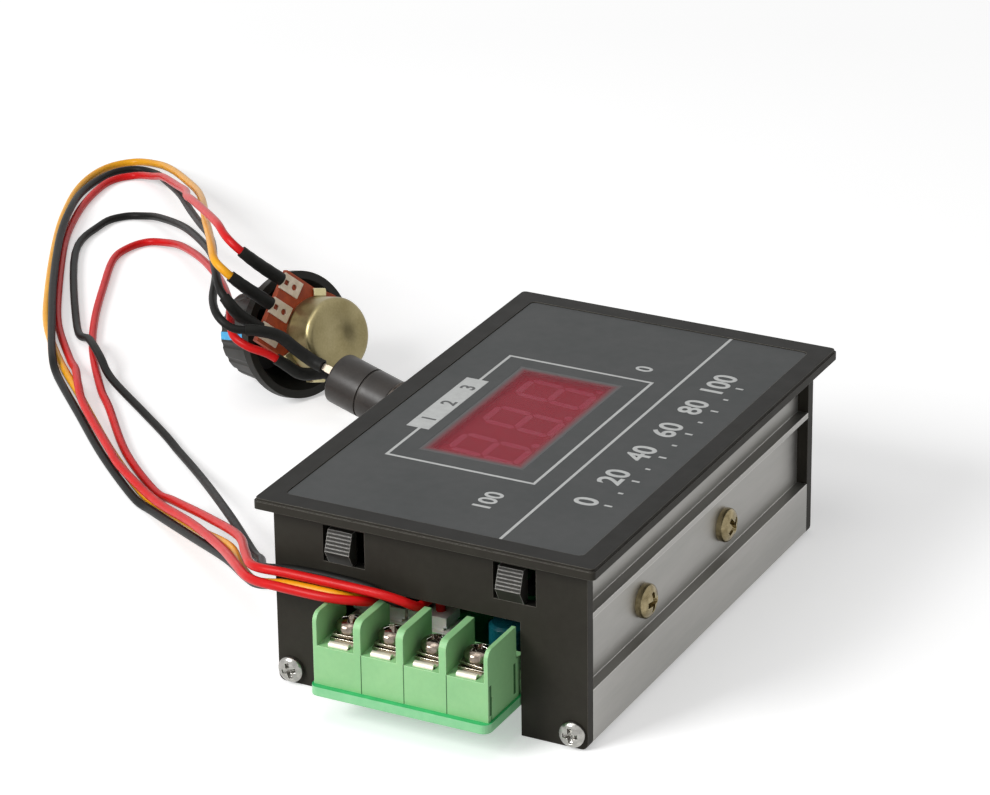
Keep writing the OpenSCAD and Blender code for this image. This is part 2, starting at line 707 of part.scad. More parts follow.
module snap_tab() {
    lean = tab_proud - tab_tip_proud;
    slope_z = tab_top - tab_bottom - tab_edge_rise;
    teeth = [for (i = [0:tooth_n - 1]) let (f = i / tooth_n, z = tab_bottom + tab_edge_rise + f * slope_z)
        each [[f * lean - tab_proud, z], [f * lean - tab_proud + tooth_deep, z]]];
    translate([-tab_w / 2 - tab_offset, 0, 0]) union() {
        rotate([90, 0, 90]) linear_extrude(tab_w)
            polygon(concat([[tab_t, tab_bottom + tab_root_r], [tab_t - tab_root_r, tab_bottom],
                [0, tab_bottom]], teeth, [[-tab_tip_proud, tab_top], [tab_t, tab_top]]));
        translate([0, tab_t - tab_root_r, tab_bottom + tab_root_r]) rotate([0, 90, 0])
            bore(2 * tab_root_r, tab_w);
    }
}

module place_tab(sx, end) {
    color("#2f2e2b") translate([sx * window_x, end > 0 ? back_y : front_y, 0])
        rotate([0, 0, end > 0 ? 180 : 0]) snap_tab();
}

module corner_screws() {
    color("#b8b8b4") for (sx = [-1, 1], e = [-1, 1])
        translate([sx * corner_screw_x, e < 0 ? front_y : back_y, corner_screw_z])
            rotate([e < 0 ? 90 : -90, 0, 0])
                pan_screw(corner_head_d, corner_head_h, corner_shank_d, corner_shank_l);
}

module side_screws() {
    l = sink_web + clamp_seat() + clamp_t - screw_end_gap;
    color("#968250") for (s = [-1, 1], y = side_screw_ys)
        translate([s * web_out, y, side_screw_z]) rotate([0, s * 90, 0])
            pan_screw(side_head_d, side_head_h, side_shank_d, l);
}

// Power devices stand on the main board with their backs to the webs
function clamp_seat() = device_t + pad_t;
function device_ys() = let (m = (side_screw_ys[0] + side_screw_ys[1]) / 2)
    [m - device_w / 2 - device_gap, m + device_w / 2 + device_gap];

module power_device() {
    z0 = board_z + device_rise;
    difference() {
        union() {
            block(web_in - pad_t - device_tab_t, web_in - pad_t, -device_w / 2, device_w / 2,
                z0, z0 + device_h);
            block(web_in - pad_t - device_t, web_in - pad_t - device_tab_t, -device_w / 2,
                device_w / 2, z0, z0 + device_body_h);
        }
        translate([web_in - device_t - overrun, 0, z0 + device_h - device_hole_drop])
            rotate([0, 90, 0]) bore(device_hole_d, device_t + 2 * overrun);
    }
    for (k = [-1, 0, 1]) translate([web_in - pad_t - device_t / 2 - device_lead_t,
        k * device_lead_pitch - device_lead_w / 2, board_z])
            cube([device_lead_t, device_lead_w, device_rise]);
}

module power_transistors() {
    color("#2a2a2a") for (y = device_ys()) translate([0, y, 0]) power_device();
}

module power_diodes() {
    color("#2a2a2a") mirror([1, 0, 0]) for (y = device_ys()) translate([0, y, 0]) power_device();
}

module clamp_bar() {
    x = web_in - clamp_seat();
    difference() {
        block(x - clamp_t, x, side_screw_ys[0] - clamp_margin, side_screw_ys[1] + clamp_margin,
            side_screw_z - clamp_h / 2, side_screw_z + clamp_h / 2);
        for (y = side_screw_ys) translate([x - clamp_t - overrun, y, side_screw_z])
            rotate([0, 90, 0]) bore(clamp_bore_d, clamp_t + 2 * overrun);
    }
}

module clamp_bar_right() {
    color("#a0a09c") clamp_bar();
}

module clamp_bar_left() {
    color("#a0a09c") mirror([1, 0, 0]) clamp_bar();
}

module main_board() {
    color("#2f7a48") translate([0, 0, board_z - board_t]) linear_extrude(board_t) union() {
        translate([-board_x, inner_front + board_end_gap])
            square([2 * board_x, inner_l - 2 * board_end_gap]);
        translate([0, (front_y - tongue_out + inner_front + overrun) / 2])
            polygon(round_rect(tongue_w, inner_front + overrun - front_y + tongue_out,
                tongue_round));
    }
}

// Terminal block
function bay_x(i) = (i - 2.5) * terminal_pitch;

module barrier(x, t) {
    z0 = board_z + block_step;
    z1 = board_z + barrier_h;
    translate([x - t / 2, 0, 0]) rotate([90, 0, 90]) linear_extrude(t)
        polygon(concat([[block_front + barrier_l, z0 - clearance],
            [block_front + barrier_l, z1]],
            corner_arc(block_front + barrier_round, z1 - barrier_round, barrier_round, 90),
            [[block_front, z0 - clearance]]));
}

module terminal_block() {
    z1 = board_z + block_step;
    color("#96d291") difference() {
        union() {
            block(-block_w / 2, block_w / 2, block_front, block_back, board_z, z1);
            for (i = [1, 2, 3]) barrier(bay_x(i) + terminal_pitch / 2, barrier_t);
            for (s = [-1, 1]) barrier(s * (block_w - barrier_end_t) / 2, barrier_end_t);
        }
        for (i = [1:4]) {
            block(bay_x(i) - contact_w / 2 - clearance, bay_x(i) + contact_w / 2 + clearance,
                block_front + contact_front, block_front + contact_front + contact_l,
                z1 - contact_t, z1 + overrun);
            translate([bay_x(i), screw_y, z1 - terminal_shank_l])
                bore(terminal_shank_d + 6 * clearance, terminal_shank_l + overrun);
        }
        for (y = [block_front + block_wall, block_back - block_wall - slot_cut_w])
            block(block_w / 2 - slot_cut_deep, block_w / 2 + overrun, y, y + slot_cut_w,
                board_z - overrun, board_z + block_step * slot_cut_share);
    }
}

module terminal_contacts() {
    z1 = board_z + block_step;
    color("#cfcabb") for (i = [1:4]) difference() {
        block(bay_x(i) - contact_w / 2, bay_x(i) + contact_w / 2, block_front + contact_front,
            block_front + contact_front + contact_l - clearance, z1 - contact_t, z1);
        translate([bay_x(i), screw_y, z1 - contact_t - overrun])
            bore(screw_bore_d, contact_t + 2 * overrun);
    }
}

module terminal_clamp(i) {
    z1 = board_z + block_step + clamp_gap;
    color("#c8c4b8") difference() {
        block(bay_x(i) - clamp_plate_w / 2, bay_x(i) + clamp_plate_w / 2,
            screw_y - clamp_plate_w / 2, screw_y + clamp_plate_w / 2, z1, z1 + 2 * clamp_plate_t);
        translate([bay_x(i), screw_y, z1 - overrun]) bore(screw_bore_d, 2 * clamp_plate_t + 2 * overrun);
        for (s = [-1, 1]) translate([bay_x(i), screw_y, z1 + clamp_plate_t])
            block(s > 0 ? clamp_plate_w / 2 - clamp_gap : -clamp_plate_w,
                s > 0 ? clamp_plate_w : clamp_gap - clamp_plate_w / 2,
                -clamp_plate_w, clamp_plate_w, 0, clamp_gap);
    }
}

module terminal_screw(i) {
    z = board_z + block_step + clamp_gap + 2 * clamp_plate_t + slot_play;
    color("#c9c6bd") translate([bay_x(i), screw_y, z]) rotate([0, 0, 20 * i])
        pan_screw(terminal_head_d, terminal_head_h, terminal_shank_d,
            terminal_shank_l - clamp_plate_t);
}

// Display
module display_board() {
    z = display_board_z;
    color("#2f7a48") difference() {
        block(led_x - display_board_w / 2, led_x + display_board_w / 2,
            led_y - display_board_l / 2, led_y + display_board_l / 2, z, led_bottom);
        for (p = boss_places()) translate([p.x, p.y, z - overrun])
            bore(display_hole_d, board_t + 2 * overrun);
    }
}

module led_display() {
    color("#3a2226") block(led_x - led_w / 2, led_x + led_w / 2, led_y - led_l / 2,
        led_y + led_l / 2, led_bottom, led_top);
}

module display_screws() {
    color("#b8b8b4") for (p = boss_places()) translate([p.x, p.y, led_bottom - board_t])
        rotate([180, 0, 0])
            pan_screw(display_head_d, display_head_h, display_screw_d, display_screw_l);
}

module board_link() {
    w = link_n * link_pitch;
    h = led_bottom - board_t - board_z;
    color("#1c1c1c") translate([link_x, link_y, board_z]) {
        translate([-w / 2, -link_pitch / 2, 0]) cube([w, link_pitch, link_base_h]);
        translate([-w / 2, -link_pitch / 2, h - link_base_h]) cube([w, link_pitch, link_base_h]);
        for (i = [0:link_n - 1])
            translate([(i + 0.5) * link_pitch - w / 2 - link_pin / 2, -link_pin / 2, 0])
                cube([link_pin, link_pin, h]);
    }
}

module can_capacitor(d, h) {
    g = cap_groove;
    z = cap_groove_z;
    rotate_extrude($fn = round_fn) polygon([[0, 0], [d / 2 - g, 0], [d / 2, g], [d / 2, z - g],
        [d / 2 - g, z], [d / 2, z + g], [d / 2, h - g], [d / 2 - g, h], [0, h]]);
}

module filter_capacitors() {
    color("#23284a") for (x = cap_xs) translate([x, cap_y, board_z]) can_capacitor(cap_d, cap_h);
}

module input_capacitor() {
    color("#0f5560") translate([small_cap_x, small_cap_y, board_z])
        can_capacitor(small_cap_d, small_cap_h);
}

module controller_chip() {
    color("#1c1c1c") translate([chip_x, chip_y, board_z]) {
        block(-chip_w / 2, chip_w / 2, -chip_l / 2, chip_l / 2, chip_lead_t / 2, chip_h);
        for (s = [-1, 1], i = [1:chip_leads])
            translate([s * (chip_w + chip_lead_l) / 2 - (chip_lead_l + chip_lead_t) / 2,
                (i - (chip_leads + 1) / 2) * chip_lead_pitch - chip_lead_w / 2, 0])
                    cube([chip_lead_l + chip_lead_t, chip_lead_w, chip_lead_t]);
    }
}

// Lead connectors
function socket_w(n) = (n - 1) * pin_pitch + socket_ends;

module socket(x, n) {
    w = socket_w(n);
    color("#e8e6de") difference() {
        block(x - w / 2, x + w / 2, socket_y - socket_d / 2, socket_y + socket_d / 2,
            board_z, board_z + socket_h);
        block(x - w / 2 + socket_wall, x + w / 2 - socket_wall, socket_y - socket_d / 2 + socket_wall,
            socket_y + socket_d / 2 - socket_wall, board_z + plug_lift - clearance,
            board_z + socket_h + overrun);
    }
}

module plug(x, n) {
    w = socket_w(n) - 2 * socket_wall - 2 * clearance;
    color("#f0eee6") union() {
        block(x - w / 2, x + w / 2, socket_y - plug_d / 2, socket_y + plug_d / 2,
            board_z + plug_lift, plug_top - plug_cap_h / 2);
        block(x - w / 2 - plug_cap, x + w / 2 + plug_cap, socket_y - plug_d / 2 - plug_cap / 2,
            socket_y + plug_d / 2 + plug_cap / 2, plug_top - plug_cap_h, plug_top);
    }
}

module pot_socket() {
    socket(pot_socket_x, 3);
}

module switch_socket() {
    socket(switch_socket_x, 2);
}

module pot_plug() {
    plug(pot_socket_x, 3);
}

module switch_plug() {
    plug(switch_socket_x, 2);
}

// Potentiometer
module pot_can() {
    r = can_d / 2;
    w = can_wall;
    c = can_round;
    color("#8a7f50") at_pot() translate([0, 0, -pot_board_t - can_h]) rotate_extrude($fn = 2 * round_fn)
        polygon(concat([[0, 0]], [for (i = [0:arc_steps]) let (a = 90 * i / arc_steps - 90)
            [r - c + c * cos(a), c + c * sin(a)]], [[r, can_h], [r - w, can_h], [r - w, c],
            [r - c, w], [0, w]]));
}

module pot_board() {
    color("#963c19") at_pot() rotate([0, 0, pot_roll]) difference() {
        union() {
            translate([0, 0, -pot_board_t]) cylinder(r = pot_board_r, h = pot_board_t, $fn = 64);
            block(0, pot_board_reach, -pot_board_half, pot_board_half, -pot_board_t, 0);
        }
        translate([0, 0, -pot_board_t - overrun]) bore(bush_d, pot_board_t + 2 * overrun);
    }
}

module pot_lugs() {
    color("#cabf9f") at_pot() rotate([0, 0, pot_roll]) for (k = [-1, 0, 1])
        translate([0, k * lug_pitch, -pot_board_t - lug_t]) difference() {
            union() {
                block(lug_start, lug_plate_end, -lug_w / 2, lug_w / 2, 0, lug_t);
                block(lug_plate_end, lug_tip, -lug_tail_w / 2, lug_tail_w / 2, 0, lug_t);
            }
            translate([lug_start + lug_w / 2, 0, -overrun]) bore(lug_hole_d, lug_t + 2 * overrun);
            translate([lug_plate_end - lug_w / 2, -lug_slot_w / 2, -overrun])
                cube([lug_slot_w, lug_slot_w, lug_t + 2 * overrun]);
        }
}

module pot_bushing() {
    color("#b9b7ae") at_pot() difference() {
        union() {
            cylinder(r = plate_r, h = plate_t, $fn = 64);
            bore(bush_d, plate_t + bush_l);
        }
        translate([0, 0, -overrun]) bore(neck_d + 2 * neck_play, plate_t + bush_l + 2 * overrun);
    }
}

module pot_washer() {
    color("#b9b7ae") at_pot() translate([0, 0, plate_t]) difference() {
        bore(pot_washer_d, pot_washer_t);
        translate([0, 0, -overrun]) bore(bush_d + 2 * neck_play, pot_washer_t + 2 * overrun);
    }
}

module pot_nut() {
    color("#c4c2b8") at_pot() translate([0, 0, plate_t + pot_washer_t]) difference() {
        cylinder(d = pot_nut_af / cos(30), h = pot_nut_t, $fn = 6);
        translate([0, 0, -overrun]) bore(bush_d + 2 * neck_play, pot_nut_t + 2 * overrun);
    }
}

module pot_shaft() {
    rear = -pot_board_t - rotor_gap - rotor_t;
    color("#d4d2c8") at_pot() union() {
        translate([0, 0, rear]) bore(rotor_d, rotor_t);
        translate([0, 0, rear]) bore(neck_d, plate_t + bush_l + rotor_gap - rear);
        translate([0, 0, plate_t + bush_l + rotor_gap])
            bore(shaft_d, pot_shaft_l - plate_t - bush_l - rotor_gap);
    }
}

// Outline of the knob as radius and height, from its skirt to its face
function knob_side() = [[knob_d / 2, skirt_gap], [knob_d / 2, skirt_gap + knob_skirt_h],
    [knob_body_d / 2, skirt_gap + knob_skirt_h + knob_ramp], [knob_face_d / 2, skirt_gap + knob_l]];

module pointer_bar(extra) {
    b = knob_side()[2];
    f = knob_side()[3];
    rotate([0, 0, pointer_angle]) rotate([90, 0, 0])
        translate([0, 0, -pointer_w / 2]) linear_extrude(pointer_w)
            polygon([b, f + [extra, 0], f + [0, extra], [pointer_inner, f.y + extra],
                [pointer_inner, f.y - pointer_deep], f - [pointer_deep, pointer_deep],
                b - [pointer_deep, 0]]);
}

module knob() {
    s = knob_side();
    inner_d = knob_d - 2 * knob_wall;
    front = skirt_gap + knob_l - knob_front_t;
    color("#2d2d28") at_pot() difference() {
        rotate_extrude($fn = 72) polygon(concat([[inner_d / 2, skirt_gap]], s,
            [[0, skirt_gap + knob_l], [0, knob_hub_start], [knob_hub_d / 2, knob_hub_start],
            [knob_hub_d / 2, front], [s[3].x - knob_wall, front],
            [s[2].x - knob_wall, s[2].y]]));
        translate([0, 0, knob_hub_start - overrun])
            bore(shaft_d + 2 * neck_play, pot_shaft_l - knob_hub_start + overrun);
        for (i = [0:knob_grooves - 1]) rotate([0, 0, 360 * (i + 0.5) / knob_grooves])
            translate([s[2].x + groove_d * groove_out_share, 0, s[2].y])
                rotate([0, -atan((s[2].x - s[3].x) / (s[3].y - s[2].y)), 0])
                    bore(groove_d, knob_l + overrun);
        pointer_bar(overrun);
    }
}

module knob_pointer() {
    color("#3ca0d7") at_pot() pointer_bar(0);
}

// Switch
module switch_body() {
    color("#3c3732") at_switch() difference() {
        bore(barrel_d, barrel_l);
        translate([0, 0, barrel_floor]) bore(barrel_bore_d, barrel_l);
        translate([0, 0, seam_z]) difference() {
            bore(barrel_d + overrun, seam_w);
            translate([0, 0, -overrun]) bore(barrel_d - 2 * seam_deep, seam_w + 2 * overrun);
        }
    }
}

module switch_neck() {
    color("#b4b2aa") at_switch() difference() {
        union() {
            translate([0, 0, barrel_l]) bore(neck_thread_d, neck_l);
            translate([0, 0, flange_z]) bore(flange_d, flange_t);
        }
        translate([0, 0, barrel_l - overrun]) bore(stem_d + 2 * stem_play, neck_l + 2 * overrun);
        translate([0, 0, flange_z + flange_t - cap_pocket])
            bore(button_d + 2 * button_play, cap_pocket + overrun);
    }
}

module switch_nut() {
    color("#b4b2aa") at_switch() translate([0, 0, switch_nut_z]) difference() {
        cylinder(d = switch_nut_af / cos(30), h = switch_nut_t, $fn = 6);
        translate([0, 0, -overrun]) bore(neck_thread_d + 2 * neck_play, switch_nut_t + 2 * overrun);
    }
}

module switch_button() {
    cap_rear = flange_z + flange_t - cap_pocket + button_travel + clearance;
    color("#8f1f1c") at_switch() union() {
        translate([0, 0, cap_rear]) bore(button_d, flange_z + flange_t + button_out - cap_rear);
        translate([0, 0, barrel_l - shoulder_t - slot_play])
            bore(stem_d, cap_rear - barrel_l + shoulder_t + slot_play);
        translate([0, 0, barrel_l - shoulder_t - slot_play]) bore(shoulder_d, shoulder_t);
    }
}

module switch_spring() {
    top = barrel_l - shoulder_t - slot_play - button_travel - clearance;
    color("#b4b2aa") at_switch() translate([0, 0, barrel_floor]) difference() {
        bore(shoulder_d - 4 * clearance, top - barrel_floor);
        translate([0, 0, -overrun]) bore(stem_d + 4 * clearance, top + overrun);
    }
}

module switch_lugs() {
    color("#cabf9f") at_switch() rotate([0, 0, switch_roll]) for (s = [-1, 1])
        translate([s * switch_lug_gap, 0, 0]) {
        block(-lug_t / 2, lug_t / 2, -switch_lug_w / 2, switch_lug_w / 2, -switch_lug_l, 0);
        block(-lug_t / 2, lug_t / 2, -lug_tail_w / 2, lug_tail_w / 2, -switch_lug_tip, -switch_lug_l);
    }
}

// Sleeves and leads
module pot_sleeves() {
    color("#1b1b1a") {
        sleeve(sleeved(path_red_outer, pot_sleeve_rings, sleeve_back), lug_row);
        sleeve(sleeved(path_yellow, pot_sleeve_rings, sleeve_back), lug_row);
        sleeve(sleeved(path_black_outer, pot_sleeve_rings, sleeve_back), lug_row);
    }
}

module switch_sleeves() {
    color("#1b1b1a") {
        sleeve(sleeved(path_red_inner, switch_sleeve_rings, switch_sleeve_back), switch_row);
        sleeve(sleeved(path_black_inner, switch_sleeve_rings, switch_sleeve_back), switch_row);
    }
}

module wire_yellow() {
    color("#cd961e") lead(path_yellow, lug_row);
}

module wire_black_outer() {
    color("#191916") lead(path_black_outer, lug_row);
}

module wire_red_outer() {
    color("#dc2823") lead(path_red_outer, lug_row);
}

module wire_red_inner() {
    color("#dc2823") lead(path_red_inner, switch_row);
}

module wire_black_inner() {
    color("#191916") lead(path_black_inner, switch_row);
}

housing();
overlay_panel();
display_filter();
heat_sink_right();
heat_sink_left();
bottom_cover();
place_tab(-1, -1);  // snap_tab_front_left
place_tab(1, -1);  // snap_tab_front_right
place_tab(-1, 1);  // snap_tab_rear_left
place_tab(1, 1);  // snap_tab_rear_right
corner_screws();
side_screws();
clamp_bar_right();
clamp_bar_left();
power_transistors();
power_diodes();
main_board();
terminal_block();
terminal_contacts();
terminal_clamp(1);  // terminal_clamp_1
terminal_clamp(2);  // terminal_clamp_2
terminal_clamp(3);  // terminal_clamp_3
terminal_clamp(4);  // terminal_clamp_4
terminal_screw(1);  // terminal_screw_1
terminal_screw(2);  // terminal_screw_2
terminal_screw(3);  // terminal_screw_3
terminal_screw(4);  // terminal_screw_4
display_board();
led_display();
display_screws();
board_link();
filter_capacitors();
input_capacitor();
controller_chip();
pot_socket();
switch_socket();
pot_plug();
switch_plug();
pot_can();
pot_board();
pot_lugs();
pot_bushing();
pot_washer();
pot_nut();
pot_shaft();
knob();
knob_pointer();
switch_body();
switch_neck();
switch_nut();
switch_button();
switch_spring();
switch_lugs();
pot_sleeves();
switch_sleeves();
wire_yellow();
wire_black_outer();
wire_red_outer();
wire_red_inner();
wire_black_inner();
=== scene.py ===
"""The looks of a panel-mount motor speed controller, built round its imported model. Lengths are in
metres in the frame of the model, and numbers written in millimetres are scaled by MM."""
import math
import random

import bmesh
import bpy
from mathutils import Matrix, Vector


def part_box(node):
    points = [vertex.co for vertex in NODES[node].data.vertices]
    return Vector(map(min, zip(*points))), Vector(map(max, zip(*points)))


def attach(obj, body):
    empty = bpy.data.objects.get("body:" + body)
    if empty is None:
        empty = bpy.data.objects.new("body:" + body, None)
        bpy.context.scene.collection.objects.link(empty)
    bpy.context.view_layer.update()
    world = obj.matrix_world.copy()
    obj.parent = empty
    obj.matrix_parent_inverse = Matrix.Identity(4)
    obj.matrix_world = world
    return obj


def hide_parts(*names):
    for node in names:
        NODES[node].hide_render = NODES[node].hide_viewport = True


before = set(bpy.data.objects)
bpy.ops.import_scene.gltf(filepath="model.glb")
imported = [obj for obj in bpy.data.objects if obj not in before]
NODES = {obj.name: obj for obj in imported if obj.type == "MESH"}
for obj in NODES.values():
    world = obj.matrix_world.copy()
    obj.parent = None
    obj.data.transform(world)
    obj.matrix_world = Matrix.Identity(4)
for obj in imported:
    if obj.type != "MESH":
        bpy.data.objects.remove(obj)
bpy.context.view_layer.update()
MM = 0.001
TAU = 2 * math.pi
random.seed(7)


def mm(*p):
    return Vector(p) * MM


# Camera
def look(azimuth, elevation, roll):
    a, e, r = (math.radians(v) for v in (azimuth, elevation, roll))
    ahead = Vector((-math.sin(a) * math.cos(e), math.cos(a) * math.cos(e), -math.sin(e)))
    right = ahead.cross(Vector((0, 0, 1))).normalized()
    up = right.cross(ahead)
    right, up = (math.cos(r) * right + math.sin(r) * up, math.cos(r) * up - math.sin(r) * right)
    return Matrix((right, up, -ahead)).transposed().to_4x4()


camera = bpy.data.objects.new("camera", bpy.data.cameras.new("camera"))
bpy.context.scene.collection.objects.link(camera)
camera.matrix_world = Matrix.Translation(mm(295.34, -591.14, 332.09)) @ look(27.435, 23.967, -0.746)
camera.data.lens = 155.48
camera.data.sensor_width = 36
camera.data.clip_start = 0.01
bpy.context.scene.camera = camera


# Materials
def srgb(r, g, b, alpha=1.0):
    return tuple(c / 12.92 if c <= 0.04045 else ((c + 0.055) / 1.055) ** 2.4
                 for c in (r / 255, g / 255, b / 255)) + (alpha,)


def add(tree, kind, ins=(), **attrs):
    """A node with its attributes, and inputs that are values or sockets to link."""
    n = tree.nodes.new(kind)
    for key, value in attrs.items():
        setattr(n, key, value)
    for key, value in dict(ins).items():
        if isinstance(value, bpy.types.NodeSocket):
            tree.links.new(value, n.inputs[key])
        else:
            n.inputs[key].default_value = value
    return n


def ramp(tree, fac, stops):
    n = add(tree, "ShaderNodeValToRGB", {"Fac": fac})
    for i, (place, colour) in enumerate(stops):
        e = n.color_ramp.elements[i] if i < 2 else n.color_ramp.elements.new(place)
        e.position, e.color = place, colour
    return n.outputs["Color"]


def spread(tree, value, low, high):
    """A value from 0 to 1 spread from low to high."""
    return add(tree, "ShaderNodeMapRange", {"Value": value, "To Min": low,
                                            "To Max": high}).outputs[0]


def surface(name, dark, light, scale, rough, bump=(0, 1000), metal=0.0, stretch=(1, 1, 1),
            turn=(0, 0, 0), edge=None, edge_r=0.12, wear_and_glint_breakup=0.0, side=None, fine=0.35, **plain):
    """A finish: two tones mixed by noise, uneven roughness, a bump, and softened edges that may be
    lighter: a painted highlight along the edges, with some edge wear, in patches from noise. side
    is two other tones for the upright faces. scale and bump[1] are in waves per metre, bump[0] and
    edge_r in millimetres."""
    m = bpy.data.materials.new(name)
    m.use_nodes = True
    t = m.node_tree
    t.nodes.clear()
    coord = add(t, "ShaderNodeTexCoord").outputs["Object"]
    spot = add(t, "ShaderNodeMapping", {"Vector": coord, "Rotation": turn, "Scale": stretch})
    spot = spot.outputs["Vector"]

    def noise(size, detail=3.0):
        return add(t, "ShaderNodeTexNoise", {"Vector": spot, "Scale": size,
                                             "Detail": detail}).outputs[0]

    broad = noise(scale)
    grain = noise(scale * 9, 2.0)
    both = add(t, "ShaderNodeMix", {"Factor": fine, 2: broad, 3: grain}).outputs[0]
    colour = ramp(t, both, [(0.32, dark), (0.68, light)])
    flat = add(t, "ShaderNodeNewGeometry").outputs["Normal"]
    # Upright faces may get other tones: painted light and shade on the case and the heat sinks, the
    # pale cut edge on the board.
    if side:
        up = add(t, "ShaderNodeSeparateXYZ", {"Vector": flat}).outputs[2]
        tilt = add(t, "ShaderNodeMath", {0: up}, operation="ABSOLUTE").outputs[0]
        upright = add(t, "ShaderNodeMapRange", {"Value": tilt, "From Min": 0.6, "From Max": 0.4})
        other = ramp(t, both, [(0.32, side[0]), (0.68, side[1])])
        mixed = add(t, "ShaderNodeMix", {"Factor": upright.outputs[0], 6: colour, 7: other},
                    data_type="RGBA")
        colour = mixed.outputs[2]
    soft = add(t, "ShaderNodeBevel", {"Radius": edge_r * MM}, samples=6).outputs[0]
    # Painted highlight along edges, with some edge wear: the edge tone is mixed in where the
    # softened normal turns from the flat one, in patches from noise.
    if edge:
        turn_by = add(t, "ShaderNodeVectorMath", {0: soft, 1: flat}, operation="DOT_PRODUCT")
        line = add(t, "ShaderNodeMapRange", {"Value": turn_by.outputs["Value"], "From Min": 0.998,
                                             "From Max": 0.86, "To Max": 0.75})
        wear_and_glint_gaps = spread(t, noise(scale * 5), 1 - wear_and_glint_breakup, 1.2)
        edge_glint_and_wear = add(t, "ShaderNodeMath", {0: line.outputs[0], 1: wear_and_glint_gaps}, operation="MULTIPLY")
        mixed = add(t, "ShaderNodeMix", {"Factor": edge_glint_and_wear.outputs[0], 6: colour, 7: edge},
                    data_type="RGBA")
        colour = mixed.outputs[2]
    shader = add(t, "ShaderNodeBsdfPrincipled", {"Base Color": colour, "Metallic": metal,
                                                 "Roughness": spread(t, noise(scale * 3), *rough)})
    for key, value in plain.items():
        shader.inputs[key.replace("_", " ")].default_value = value
    if bump[0]:
        wave = noise(bump[1], 2.0)
        soft = add(t, "ShaderNodeBump", {"Strength": 1.0, "Distance": bump[0] * MM, "Height": wave,
                                         "Normal": soft}).outputs[0]
    t.links.new(soft, shader.inputs["Normal"])
    out = add(t, "ShaderNodeOutputMaterial", {"Surface": shader.outputs[0]})
    out.target = "ALL"
    return m


# In the finishes below, every edge tone is a painted highlight along the edges, with some edge
# wear.
LONG = (1, 0.02, 1)
# Painted light and shade: the top faces are darker and the upright faces lighter, as the light
# fell; the edge tone is a painted highlight with some wear.
case_black = surface("case_black", srgb(25, 24, 22), srgb(31, 30, 27), 90, (0.42, 0.56),
                     bump=(0.012, 4200), side=(srgb(43, 40, 35), srgb(49, 47, 41)),
                     edge=srgb(128, 124, 116), edge_r=0.16, wear_and_glint_breakup=0.6, Specular_IOR_Level=0.12)
tab_black = surface("tab_black", srgb(40, 39, 36), srgb(53, 51, 47), 300, (0.3, 0.42),
                    bump=(0.006, 5000), edge=srgb(217, 214, 208), edge_r=0.16, wear_and_glint_breakup=0.35,
                    Specular_IOR_Level=0.3)
cover_black = surface("cover_black", srgb(36, 36, 34), srgb(47, 46, 42), 150, (0.5, 0.65),
                      bump=(0.02, 2500))
film_grey = surface("film_grey", srgb(68, 70, 70), srgb(76, 77, 77), 60, (0.5, 0.62),
                    bump=(0.004, 6500), edge=srgb(127, 128, 128), edge_r=0.08,
                    Specular_IOR_Level=0.15)
print_white = surface("print_white", srgb(179, 180, 179), srgb(194, 196, 194), 900, (0.5, 0.65),
                      bump=(0.003, 9000))
print_dark = surface("print_dark", srgb(70, 72, 72), srgb(81, 82, 82), 900, (0.5, 0.6),
                     bump=(0.003, 9000))
# Painted light and shade: the top faces are darker and the upright faces lighter, as the light
# fell; the near-white edge tone is a painted highlight. The long grain is real.
aluminium = surface("aluminium", srgb(125, 123, 119), srgb(139, 138, 134), 160, (0.36, 0.5),
                    bump=(0.004, 2400), metal=0.85, side=(srgb(166, 165, 161), srgb(181, 179, 175)),
                    stretch=(1, 0.15, 1), edge=srgb(255, 254, 250), edge_r=0.2, wear_and_glint_breakup=0.5, fine=0.2)
bar_metal = surface("bar_metal", srgb(150, 150, 148), srgb(175, 175, 172), 600, (0.35, 0.5),
                    bump=(0.004, 3000), metal=0.9, stretch=LONG)
nickel = surface("nickel", srgb(138, 137, 133), srgb(186, 184, 179), 1100, (0.14, 0.3),
                 bump=(0.006, 2500), metal=1.0, edge=srgb(250, 248, 242), edge_r=0.1)
# Painted reflection: the dark brownish tone stands in for a dark room reflected in the metal, and
# the light edge tone for glints.
washer_metal = surface("washer_metal", srgb(128, 118, 104), srgb(178, 168, 152), 900, (0.18, 0.34),
                       bump=(0.008, 1800), metal=1.0, edge=srgb(244, 238, 226), edge_r=0.12)
contact_metal = surface("contact_metal", srgb(222, 214, 196), srgb(240, 233, 216), 700,
                        (0.3, 0.45), bump=(0.004, 1800), metal=0.35,
                        edge=srgb(250, 246, 234), edge_r=0.1)
zinc_yellow = surface("zinc_yellow", srgb(115, 103, 75), srgb(169, 156, 123), 900, (0.16, 0.32),
                      bump=(0.006, 2500), metal=1.0, edge=srgb(232, 220, 178), edge_r=0.1)
# Painted reflection: the dark brownish tone stands in for a dark room reflected in the metal, and
# the light edge tone for glints.
screw_metal = surface("screw_metal", srgb(104, 92, 82), srgb(160, 148, 136), 1200, (0.1, 0.26),
                      bump=(0.03, 1600), metal=1.0, edge=srgb(252, 250, 244), edge_r=0.12)
# Painted reflection: the dark tone stands in for a dark room reflected in the metal, and the light
# edge tone for glints.
neck_metal = surface("neck_metal", srgb(54, 48, 44), srgb(96, 88, 82), 700, (0.22, 0.4),
                     bump=(0.008, 1500), metal=1.0, edge=srgb(190, 184, 176), edge_r=0.12, wear_and_glint_breakup=0.5)
terminal_green = surface("terminal_green", srgb(139, 194, 135), srgb(150, 203, 143), 120,
                         (0.4, 0.52), bump=(0.004, 3000), edge=srgb(201, 251, 192), edge_r=0.16,
                         wear_and_glint_breakup=0.3, Subsurface_Weight=0.05, Subsurface_Scale=0.001)
